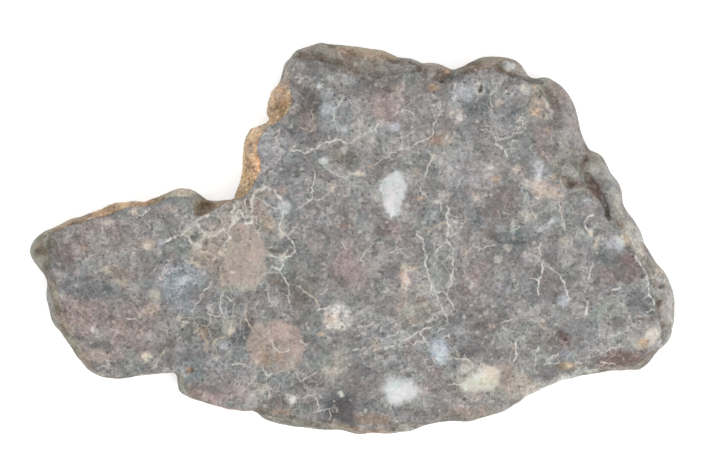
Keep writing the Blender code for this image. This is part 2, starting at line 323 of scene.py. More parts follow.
def outward_of(grid):
    """The direction out of the stone at every point of the grid."""
    along = np.roll(grid, -1, 1) - np.roll(grid, 1, 1)
    down = np.gradient(grid, axis=0)
    out = np.cross(down, along)
    return out / np.linalg.norm(out, axis=2, keepdims=True)


def share_among(places, marks):
    """How far each place is covered by soft marks: x, y, width and height in the drawing, and how much."""
    drawn = in_drawing(places)
    share = np.zeros(len(places))
    for x, y, width, height, amount in marks:
        reach = np.hypot((drawn[:, 0] - x) / width * 2, (drawn[:, 1] - y) / height * 2)
        share = np.maximum(share, amount * eased(1.35, 0.65, reach))
    return share


def gap_to_line(drawn, points):
    """The distance from each position to a line through these points."""
    points = np.array(points, float)
    nearest = np.full(len(drawn), np.inf)
    for start, end in zip(points[:-1], points[1:]):
        along = np.clip(((drawn - start) @ (end - start)) / np.sum((end - start) ** 2), 0, 1)
        nearest = np.minimum(nearest, np.hypot(*(drawn - start - along[:, None] * (end - start)).T))
    return nearest


def skin_heights(places):
    """How far the fine relief of the skin stands out at each place, in metres."""
    heights = KNOBBLY_SKIN * wandering(places, 0.0021, layers=2, shift=4.0)
    heights += FINE_SKIN * wandering(places, 0.0009, layers=4)
    heights += 0.6 * FINE_SKIN * wandering(places, 0.00042, layers=2, shift=7.0)
    near = np.array([noise.voronoi(Vector(place) / SUGAR_GRAIN)[0][:2] for place in places])
    grains = eased(0.05, 0.45, near[:, 1] - near[:, 0]) - 0.6
    heights += SUGARY_SKIN * share_among(places, SUGARY_PLACES) * grains
    drawn = in_drawing(places)
    for x, y, radius, depth in SKIN_PITS:
        reach = np.hypot(drawn[:, 0] - x, drawn[:, 1] - y) / radius
        heights -= depth * np.exp(-(reach**2))
    above = places[:, 2] > 0.0008
    for points, height, width in SKIN_LINES:
        heights += height * above * np.exp(-((gap_to_line(drawn, points) / width) ** 2))
    return heights


def cavity_of(grid, out):
    """How sunken each rim point lies against the skin round it, from about -1 on crests to 1 in pits."""
    cavity = np.zeros(grid.shape[:2])
    for reach, usual in ((3, 0.000016), (10, 0.00007)):
        around = np.pad(grid, ((reach, reach), (0, 0), (0, 0)), mode="reflect", reflect_type="odd")
        around = np.pad(around, ((0, 0), (reach, reach), (0, 0)), mode="wrap")
        for axis in (0, 1):
            totals = np.cumsum(around, axis=axis)
            totals = np.concatenate([np.zeros_like(np.take(totals, [0], axis)), totals], axis=axis)
            length = totals.shape[axis]
            later = np.take(totals, range(2 * reach + 1, length), axis)
            around = (later - np.take(totals, range(length - 2 * reach - 1), axis)) / (2 * reach + 1)
        sunk = np.sum((around - grid) * out, axis=2)
        cavity += np.clip((sunk - np.median(sunk)) / usual, -1.5, 1.5)
    return cavity / 2


rim = smoothed(even_grid(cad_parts["meteorite_slice"]), 4)
rim_out = outward_of(rim)
from_edges = np.minimum(np.arange(RIM_ROWS + 1), np.arange(RIM_ROWS, -1, -1))
rim_fade = eased(0, 2, from_edges.astype(float))[:, None]
rim_heights = skin_heights(rim.reshape(-1, 3)).reshape(rim.shape[:2]) * rim_fade
rim_heights *= 0.4 + 0.6 * np.abs(rim_out[:, :, 2])
rim += rim_out * rim_heights[:, :, None]
rim[1:-1, :, 2] = np.clip(rim[1:-1, :, 2], 0.00003, THICKNESS - 0.00002)
rim_cavity = cavity_of(rim, outward_of(rim)) * rim_fade
nicks = np.maximum(wandering(rim[0], 0.0011, layers=3, shift=3.0) - 0.15, 0) * 0.00022
edge_in = -rim_out[0, :, :2] / np.linalg.norm(rim_out[0, :, :2], axis=1, keepdims=True)
rim[0, :, :2] += edge_in * nicks[:, None]
rim[0, :, 2] = THICKNESS - EDGE_WEAR
rim[-1, :, 2] = 0.0


# Veins, fragments and tints of the breccia
# The stone is broken moon rock, pressed together: pale and dark fragments in a grey matrix, crossed by
# fine veins of cream mineral. They run right through, so each is placed in the depth of the stone.

# Veins, as x and y in the drawing along each one
THICK_VEINS = [
    [(163, 243), (169, 240), (175, 237), (182, 235), (186, 231), (190, 228), (195, 225), (199, 224)],
    [(195, 221), (199, 219), (205, 216), (209, 214)],
    [(184, 231), (189, 229), (192, 226), (199, 224), (202, 230), (204, 235), (204, 238)],
    [(204, 238), (200, 242), (195, 245), (192, 243), (189, 239), (186, 235)],
    [(195, 244), (197, 248)],
    [(203, 233), (207, 234), (212, 236), (216, 235), (220, 232), (222, 229), (225, 231), (229, 235)],
    [(229, 235), (229, 238), (225, 243), (224, 247)],
    [(229, 231), (231, 226), (234, 221), (233, 210), (234, 203)],
    [(237, 219), (239, 210), (242, 214), (245, 217), (250, 216)],
    [(245, 217), (252, 217), (252, 223), (247, 224), (245, 221)],
    [(250, 213), (252, 206), (253, 199), (255, 193), (259, 190), (263, 188), (268, 188), (272, 190)],
    [(272, 190), (276, 194), (280, 197), (283, 202), (285, 205)],
]
BROAD_VEINS = [
    [(290, 150), (297, 150), (304, 153), (311, 152)],
    [(392, 186), (391, 192), (393, 198), (392, 204), (391, 210)],
    [(310, 151), (316, 149), (320, 145), (325, 143), (330, 143), (335, 140), (343, 142), (350, 144)],
    [(350, 144), (354, 141), (360, 137), (365, 133), (370, 130), (376, 127), (382, 122), (385, 119)],
    [(433, 291), (431, 286), (430, 281), (429, 275), (427, 268), (425, 262), (427, 257), (425, 252)],
    [(425, 252), (423, 247), (423, 242), (421, 238), (417, 233)],
    [(448, 205), (449, 212), (447, 218), (448, 224), (448, 230), (447, 236), (448, 241), (451, 246)],
    [(451, 246), (454, 250), (453, 256), (453, 262), (453, 270), (451, 278), (450, 286), (448, 291)],
    [(448, 291), (447, 295), (450, 301), (453, 307), (455, 310)],
    [(433, 291), (436, 293), (440, 292), (444, 292), (447, 295)],
    [(283, 262), (281, 268), (279, 271), (282, 275), (284, 278), (286, 281), (288, 284), (289, 288)],
    [(272, 266), (276, 268), (279, 271)],
    [(284, 211), (283, 217), (281, 222), (279, 226), (281, 231), (283, 235), (287, 236), (290, 233)],
    [(290, 233), (294, 229), (297, 226), (298, 222)],
    [(288, 236), (291, 240), (293, 243), (295, 245), (295, 251), (292, 255), (287, 257), (284, 256)],
    [(284, 256), (281, 257), (275, 257), (270, 254), (265, 255)],
    [(543, 262), (543, 268), (541, 274), (539, 280), (539, 286), (538, 292), (538, 296)],
    [(560, 276), (563, 281), (565, 286), (566, 290), (567, 295), (569, 298)],
    [(588, 300), (587, 306), (586, 311), (585, 316)],
    [(516, 340), (517, 347), (517, 353), (516, 358), (513, 363)],
    [(538, 346), (537, 352), (536, 358), (535, 365), (535, 372)],
    [(320, 295), (326, 291), (328, 289)],
    [(316, 311), (324, 309), (330, 306)],
    [(420, 332), (414, 334), (409, 338), (402, 341)],
    [(434, 327), (429, 328), (424, 329), (420, 332), (423, 337), (426, 342), (428, 347)],
    [(452, 357), (460, 358), (468, 360), (471, 362), (473, 367)],
    [(611, 291), (616, 289), (621, 287)],
    [(595, 215), (587, 218), (584, 223), (586, 228), (589, 231), (592, 233)],
    [(401, 278), (406, 280), (407, 286), (406, 292)],
    [(636, 254), (640, 262), (644, 270), (647, 279), (649, 288), (650, 296), (653, 306)],
    [(643, 299), (650, 296)],
    [(497, 143), (500, 146), (504, 149), (506, 153), (508, 158)],
    [(268, 328), (268, 335), (270, 341), (273, 346), (276, 350), (281, 352), (286, 351), (291, 350)],
]
FINE_VEINS = [
    [(291, 110), (295, 107), (300, 104)],
    [(294, 78), (302, 79), (306, 77), (309, 79)],
    [(282, 124), (279, 130), (276, 137), (279, 143), (279, 148), (283, 152)],
    [(281, 128), (278, 131), (270, 134), (262, 136)],
    [(328, 105), (333, 110), (334, 120), (336, 126), (339, 130)],
    [(333, 110), (337, 107), (341, 102), (345, 98)],
    [(399, 131), (402, 136), (403, 141), (402, 147), (400, 150), (394, 153)],
    [(403, 138), (408, 135), (414, 132)],
    [(400, 150), (408, 147), (417, 143), (424, 140), (430, 137), (433, 133), (434, 128), (437, 120)],
    [(437, 120), (440, 112), (441, 105), (439, 100)],
    [(392, 117), (397, 112), (403, 110), (411, 112), (414, 116)],
    [(455, 83), (454, 88), (454, 101), (456, 97)],
    [(462, 80), (463, 90)],
    [(471, 78), (477, 80), (482, 84)],
    [(489, 96), (493, 92), (498, 89)],
    [(475, 101), (480, 99)],
    [(490, 98), (491, 104), (494, 107)],
    [(480, 129), (487, 128), (492, 132), (496, 140), (498, 148)],
    [(515, 122), (520, 118), (523, 115)],
    [(523, 113), (524, 119), (525, 127), (527, 130)],
    [(500, 141), (506, 138), (512, 136), (519, 133), (524, 131)],
    [(512, 143), (511, 151), (511, 154)],
    [(532, 144), (531, 151)],
    [(246, 215), (246, 208), (245, 200), (247, 197)],
    [(263, 188), (263, 183), (264, 178)],
    [(254, 190), (254, 186)],
    [(252, 215), (255, 217), (257, 224), (259, 225)],
    [(253, 224), (254, 229), (256, 232), (260, 233)],
    [(247, 226), (248, 235)],
    [(262, 200), (266, 204), (272, 207), (280, 208)],
    [(268, 174), (271, 172), (275, 173), (278, 174)],
    [(281, 152), (280, 158), (277, 162), (273, 163)],
    [(284, 256), (287, 251), (289, 246)],
    [(284, 258), (283, 262)],
    [(314, 170), (315, 177), (314, 184), (313, 190), (312, 196), (313, 199)],
    [(310, 187), (313, 185)],
    [(313, 199), (310, 200), (306, 203), (302, 206), (298, 207)],
    [(313, 199), (318, 200), (322, 198), (326, 195), (330, 191), (333, 188), (335, 185), (334, 182)],
    [(316, 200), (318, 205), (320, 208)],
    [(317, 160), (320, 163), (325, 167), (330, 170), (335, 173), (340, 176), (345, 178), (349, 176)],
    [(349, 176), (352, 174), (357, 174), (362, 173), (366, 171)],
    [(373, 170), (376, 164), (380, 161), (385, 158), (390, 155), (395, 152)],
    [(434, 155), (432, 160), (430, 165), (427, 170), (426, 175), (425, 178)],
    [(419, 176), (421, 180), (421, 186), (420, 191), (424, 194), (427, 197), (428, 200)],
    [(430, 201), (436, 203), (440, 201), (441, 207), (440, 212)],
    [(452, 222), (458, 222), (466, 222)],
    [(448, 241), (443, 243), (440, 247), (436, 251), (433, 255)],
    [(450, 238), (454, 234), (459, 231)],
    [(434, 243), (435, 250)],
    [(372, 245), (369, 249), (364, 253), (361, 258), (360, 262)],
    [(340, 241), (344, 246), (349, 250)],
    [(477, 252), (483, 249), (489, 246), (494, 244)],
    [(389, 253), (394, 251), (400, 250), (404, 248)],
    [(184, 258), (188, 255)],
    [(155, 265), (156, 268), (154, 273)],
    [(162, 260), (167, 260), (170, 262)],
    [(268, 248), (272, 245)],
    [(279, 272), (274, 273), (270, 273), (265, 273), (261, 275)],
    [(289, 288), (289, 293), (288, 298), (289, 301), (291, 305), (292, 310), (293, 316)],
    [(212, 280), (210, 285), (207, 289), (203, 293), (200, 296), (199, 302), (196, 306), (191, 311)],
    [(222, 290), (222, 296), (221, 303), (221, 310), (224, 316), (227, 319)],
    [(224, 297), (229, 299), (234, 301)],
    [(205, 312), (210, 315), (216, 316), (221, 315)],
    [(232, 322), (231, 328)],
    [(268, 290), (269, 297), (271, 303), (276, 304)],
    [(269, 306), (274, 305), (279, 303)],
    [(231, 365), (235, 364), (241, 364), (245, 365)],
    [(300, 339), (304, 344), (307, 347)],
    [(308, 320), (306, 325), (309, 330)],
    [(416, 294), (420, 295), (424, 294), (428, 292), (433, 291)],
    [(432, 291), (430, 294), (427, 297)],
    [(431, 288), (435, 285), (439, 282)],
    [(436, 294), (438, 299), (440, 303), (442, 306), (443, 311), (445, 314), (447, 317), (447, 322)],
    [(436, 301), (437, 307)],
    [(418, 280), (423, 278), (428, 276)],
    [(463, 268), (466, 274), (469, 280), (475, 286)],
    [(434, 316), (432, 320), (430, 324)],
    [(385, 345), (390, 343), (396, 341), (403, 339)],
    [(385, 338), (392, 335), (398, 332), (405, 331)],
    [(385, 345), (392, 347), (396, 351)],
    [(372, 352), (384, 349), (396, 346)],
    [(398, 350), (410, 346)],
    [(356, 336), (366, 334)],
    [(410, 327), (418, 325)],
    [(392, 329), (402, 326)],
    [(412, 345), (422, 341)],
    [(380, 333), (388, 331)],
    [(425, 322), (434, 318)],
    [(436, 332), (446, 328)],
    [(352, 330), (358, 327), (365, 325), (370, 325), (376, 322)],
    [(441, 339), (445, 337), (449, 334)],
    [(449, 333), (449, 340)],
    [(424, 360), (430, 357)],
    [(424, 360), (426, 366), (429, 373)],
    [(432, 355), (434, 361), (436, 366)],
    [(352, 350), (358, 349), (366, 348)],
    [(539, 280), (534, 279), (529, 278)],
    [(545, 265), (550, 268), (555, 272), (560, 276)],
    [(592, 262), (591, 270), (590, 276), (588, 281)],
    [(501, 324), (505, 321), (511, 319), (515, 320)],
    [(501, 326), (505, 329), (509, 333)],
    [(559, 352), (555, 356), (550, 359), (546, 361)],
    [(543, 366), (549, 363), (555, 363), (560, 362)],
    [(607, 339), (614, 336), (620, 333), (627, 329), (632, 326), (637, 324)],
    [(630, 313), (630, 318), (632, 325)],
    [(600, 354), (607, 351), (615, 348), (622, 344)],
    [(645, 312), (650, 311), (655, 310)],
    [(548, 317), (553, 315)],
    [(560, 197), (559, 204), (560, 209), (562, 216), (563, 221)],
    [(565, 221), (564, 227)],
    [(569, 240), (572, 246), (577, 251), (580, 253)],
    [(541, 241), (539, 247), (540, 254), (541, 263)],
    [(512, 217), (512, 224), (512, 231), (510, 233)],
    [(512, 231), (517, 229), (522, 225)],
    [(536, 233), (543, 226), (553, 220)],
    [(562, 148), (570, 145)],
    [(302, 398), (308, 395), (313, 396), (317, 400), (319, 405), (319, 410)],
    [(312, 412), (318, 411), (325, 410), (330, 409), (330, 420)],
    [(303, 381), (308, 377), (314, 374), (319, 371)],
    [(266, 380), (262, 366)],
    [(268, 378), (273, 374)],
    [(295, 370), (298, 377), (301, 383)],
    [(150, 208), (145, 213), (140, 216), (133, 219)],
    [(174, 216), (180, 216)],
    [(102, 226), (101, 236)],
    [(163, 286), (168, 283)],
    [(104, 359), (108, 362), (111, 364)],
    [(101, 367), (106, 366), (110, 365)],
    [(125, 318), (132, 319), (139, 320)],
    [(600, 363), (608, 364), (616, 366)],
    [(470, 383), (462, 384), (455, 384), (447, 386)],
]
TAN_VEINS = [
    [(300, 127), (305, 129), (309, 132), (313, 128), (316, 127)],
    [(313, 127), (312, 120), (311, 113), (313, 108)],
    [(448, 222), (443, 223), (438, 225), (434, 227), (431, 231), (427, 232), (423, 231)],
    [(416, 215), (415, 219), (411, 222), (410, 226)],
    [(462, 262), (466, 255), (470, 248), (474, 243)],
    [(198, 250), (205, 252), (211, 254), (215, 256), (215, 259), (212, 264)],
    [(200, 251), (205, 256), (209, 260)],
    [(222, 265), (222, 273), (222, 280)],
    [(433, 264), (434, 270)],
    [(248, 303), (246, 309), (246, 316), (248, 322), (250, 326), (253, 331)],
    [(296, 285), (302, 290), (307, 293), (312, 296), (317, 302), (321, 306)],
    [(200, 328), (196, 331), (192, 333)],
    [(200, 330), (203, 335), (205, 340), (207, 346)],
    [(213, 352), (213, 346), (215, 341), (218, 338), (223, 337), (229, 338)],
    [(455, 345), (456, 350), (459, 355), (460, 358)],
    [(255, 376), (251, 382), (247, 386), (242, 392)],
    [(534, 383), (529, 387), (524, 393), (521, 398)],
    [(574, 364), (578, 362), (584, 363)],
    [(168, 347), (162, 354), (156, 364), (153, 369)],
    [(158, 327), (163, 330), (168, 333)],
    [(516, 378), (524, 376), (531, 381)],
    [(594, 239), (596, 244), (597, 249)],
    [(627, 228), (628, 238), (631, 246), (634, 252)],
    [(398, 86), (397, 93)],
    [(387, 77), (397, 76)],
    [(523, 68), (528, 75)],
]

# Where the rock is crossed by a net of hairlines: x, y, width and height in the drawing, and how much
CRACKED_PLACES = [
    (225, 215, 100, 64, 0.9),
    (215, 322, 96, 78, 0.62),
    (290, 388, 76, 56, 0.8),
    (310, 188, 60, 50, 0.5),
    (350, 152, 90, 40, 0.45),
    (436, 225, 76, 160, 0.6),
    (420, 336, 110, 50, 0.7),
    (505, 115, 56, 80, 0.5),
    (545, 215, 100, 56, 0.7),
    (530, 325, 70, 50, 0.45),
    (590, 346, 110, 34, 0.5),
    (632, 300, 50, 60, 0.35),
    (310, 105, 40, 50, 0.3),
    (400, 150, 60, 40, 0.4),
]

# Colours of the stone as the eye sees them, as red, green and blue out of 255
STONE_COLOURS = {
    "ash": (147, 146, 145),
    "mauve": (152, 140, 138),
    "plum": (140, 122, 121),
    "maroon": (112, 90, 86),
    "umber": (112, 100, 88),
    "olive": (122, 118, 102),
    "charcoal": (84, 82, 82),
    "slate": (120, 124, 127),
    "teal": (112, 120, 119),
    "sage": (160, 163, 151),
    "haze": (158, 165, 174),
    "lilac": (176, 170, 178),
    "ice": (204, 213, 222),
    "pearl": (188, 188, 184),
    "milk": (236, 240, 240),
    "bone": (214, 207, 196),
    "cream": (222, 208, 188),
    "blush": (188, 170, 162),
    "rose": (174, 150, 144),
    "russet": (158, 138, 131),
    "sienna": (184, 156, 134),
    "ink": (92, 95, 98),
    "tan": (186, 170, 152),
    "ochre": (190, 162, 130),
    "rust": (160, 126, 100),
    "rind": (238, 202, 161),
    "bark": (140, 124, 106),
    "lichen": (158, 152, 130),
    "taupe": (126, 119, 111),
    "skin": (160, 154, 144),
    "white clast": (222, 228, 227),
    "cream clast": (224, 221, 206),
    "crumbly clast": (202, 199, 191),
    "tan clast": (186, 170, 159),
    "pink clast": (178, 161, 151),
}

# How even a piece of each colour is inside, where the others are all crushed grains
EVENNESS = {
    "milk": 0.8,
    "ice": 0.6,
    "bone": 0.4,
    "cream": 0.4,
    "white clast": 0.9,
    "cream clast": 0.85,
    "tan clast": 0.7,
    "pink clast": 0.5,
    "rose": 0.35,
    "blush": 0.35,
    "tan": 0.3,
    "charcoal": 0.3,
}

# Broad tints: x, y, width and height in the drawing, colour, how much
TINTS = [
    (45, 245, 34, 30, "olive", 0.6),
    (95, 240, 90, 40, "russet", 0.45),
    (80, 258, 40, 22, "maroon", 0.25),
    (118, 274, 36, 16, "sienna", 0.4),
    (94, 290, 50, 30, "slate", 0.75),
    (92, 291, 30, 14, "ink", 0.4),
    (68, 281, 16, 20, "slate", 0.4),
    (120, 272, 34, 24, "plum", 0.35),
    (120, 318, 70, 44, "russet", 0.6),
    (124, 320, 30, 16, "maroon", 0.35),
    (76, 322, 34, 50, "russet", 0.5),
    (108, 352, 56, 30, "russet", 0.5),
    (104, 345, 30, 12, "ink", 0.3),
    (150, 338, 36, 50, "russet", 0.35),
    (182, 284, 44, 50, "haze", 0.3),
    (200, 330, 30, 40, "olive", 0.3),
    (194, 360, 30, 30, "slate", 0.4),
    (60, 253, 26, 22, "maroon", 0.3),
    (196, 248, 34, 30, "sage", 0.35),
    (216, 250, 44, 64, "sienna", 0.35),
    (246, 208, 44, 34, "sienna", 0.35),
    (262, 235, 24, 60, "tan", 0.3),
    (282, 208, 30, 34, "haze", 0.3),
    (270, 148, 30, 24, "haze", 0.3),
    (292, 172, 40, 44, "slate", 0.35),
    (308, 112, 26, 46, "umber", 0.45),
    (308, 114, 22, 42, "maroon", 0.3),
    (312, 100, 14, 20, "ink", 0.3),
    (297, 135, 30, 18, "ink", 0.6),
    (336, 110, 30, 44, "haze", 0.25),
    (362, 128, 28, 20, "pearl", 0.25),
    (346, 158, 30, 20, "umber", 0.55),
    (384, 104, 40, 30, "russet", 0.4),
    (440, 140, 30, 16, "sienna", 0.35),
    (400, 88, 56, 16, "umber", 0.3),
    (318, 70, 54, 20, "mauve", 0.35),
    (352, 68, 40, 12, "umber", 0.35),
    (300, 78, 18, 26, "plum", 0.3),
    (432, 84, 40, 18, "umber", 0.4),
    (425, 122, 40, 44, "mauve", 0.3),
    (462, 90, 30, 22, "lilac", 0.45),
    (520, 90, 24, 18, "lilac", 0.35),
    (456, 116, 18, 28, "pearl", 0.25),
    (482, 112, 46, 40, "teal", 0.6),
    (478, 104, 26, 24, "ink", 0.35),
    (508, 120, 30, 44, "slate", 0.45),
    (512, 104, 20, 20, "ink", 0.25),
    (536, 102, 14, 36, "sienna", 0.5),
    (546, 142, 20, 40, "russet", 0.6),
    (548, 120, 16, 30, "umber", 0.3),
    (524, 151, 38, 22, "teal", 0.35),
    (490, 168, 38, 26, "blush", 0.25),
    (460, 180, 38, 38, "lilac", 0.25),
    (502, 206, 40, 34, "maroon", 0.5),
    (506, 236, 36, 18, "ink", 0.45),
    (524, 240, 34, 20, "teal", 0.6),
    (478, 245, 40, 66, "plum", 0.35),
    (484, 220, 30, 26, "slate", 0.4),
    (430, 213, 28, 28, "teal", 0.3),
    (386, 228, 34, 28, "plum", 0.35),
    (330, 158, 40, 34, "sage", 0.15),
    (310, 215, 44, 38, "slate", 0.2),
    (300, 262, 48, 34, "teal", 0.35),
    (348, 270, 46, 56, "rose", 0.35),
    (354, 270, 26, 40, "rose", 0.3),
    (330, 240, 56, 38, "mauve", 0.3),
    (390, 275, 38, 38, "plum", 0.35),
    (430, 270, 34, 28, "sage", 0.2),
    (296, 284, 40, 36, "olive", 0.45),
    (300, 312, 26, 44, "umber", 0.4),
    (240, 333, 30, 30, "ink", 0.6),
    (252, 324, 24, 26, "maroon", 0.45),
    (252, 298, 36, 18, "plum", 0.45),
    (215, 300, 40, 30, "slate", 0.4),
    (212, 330, 38, 32, "olive", 0.4),
    (228, 358, 50, 28, "teal", 0.5),
    (208, 380, 50, 30, "slate", 0.3),
    (315, 350, 22, 40, "teal", 0.3),
    (395, 338, 44, 22, "haze", 0.2),
    (410, 308, 44, 34, "tan", 0.3),
    (452, 330, 38, 34, "slate", 0.3),
    (470, 292, 44, 54, "plum", 0.3),
    (486, 323, 34, 26, "maroon", 0.3),
    (474, 345, 38, 30, "charcoal", 0.3),
    (545, 290, 38, 34, "slate", 0.4),
    (548, 283, 22, 34, "maroon", 0.25),
    (565, 338, 56, 28, "maroon", 0.3),
    (564, 339, 17, 20, "maroon", 0.8),
    (530, 340, 38, 24, "sage", 0.25),
    (545, 371, 40, 16, "charcoal", 0.3),
    (602, 266, 40, 26, "ink", 0.3),
    (612, 276, 36, 18, "maroon", 0.35),
    (633, 264, 22, 30, "maroon", 0.7),
    (642, 302, 28, 30, "ink", 0.5),
    (620, 240, 22, 16, "blush", 0.25),
    (627, 360, 60, 18, "maroon", 0.9),
    (585, 335, 40, 28, "haze", 0.15),
    (310, 386, 40, 30, "maroon", 0.4),
    (342, 409, 40, 40, "ink", 0.95),
    (278, 410, 40, 16, "umber", 0.7),
    (224, 390, 60, 26, "blush", 0.4),
    (212, 396, 44, 14, "rose", 0.4),
    (334, 360, 34, 36, "sage", 0.35),
    (334, 362, 24, 26, "tan", 0.3),
    (360, 385, 44, 30, "maroon", 0.25),
    (363, 360, 34, 34, "teal", 0.3),
    (435, 392, 34, 28, "maroon", 0.25),
    (402, 391, 50, 38, "pearl", 0.45),
    (480, 380, 56, 34, "cream", 0.3),
    (392, 192, 36, 54, "pearl", 0.3),
    (465, 402, 56, 20, "blush", 0.25),
    (512, 386, 44, 34, "tan", 0.5),
    (440, 412, 90, 14, "umber", 0.35),
    (480, 414, 70, 12, "sienna", 0.35),
    (372, 422, 40, 14, "rust", 0.6),
    (192, 389, 28, 14, "rust", 0.35),
]

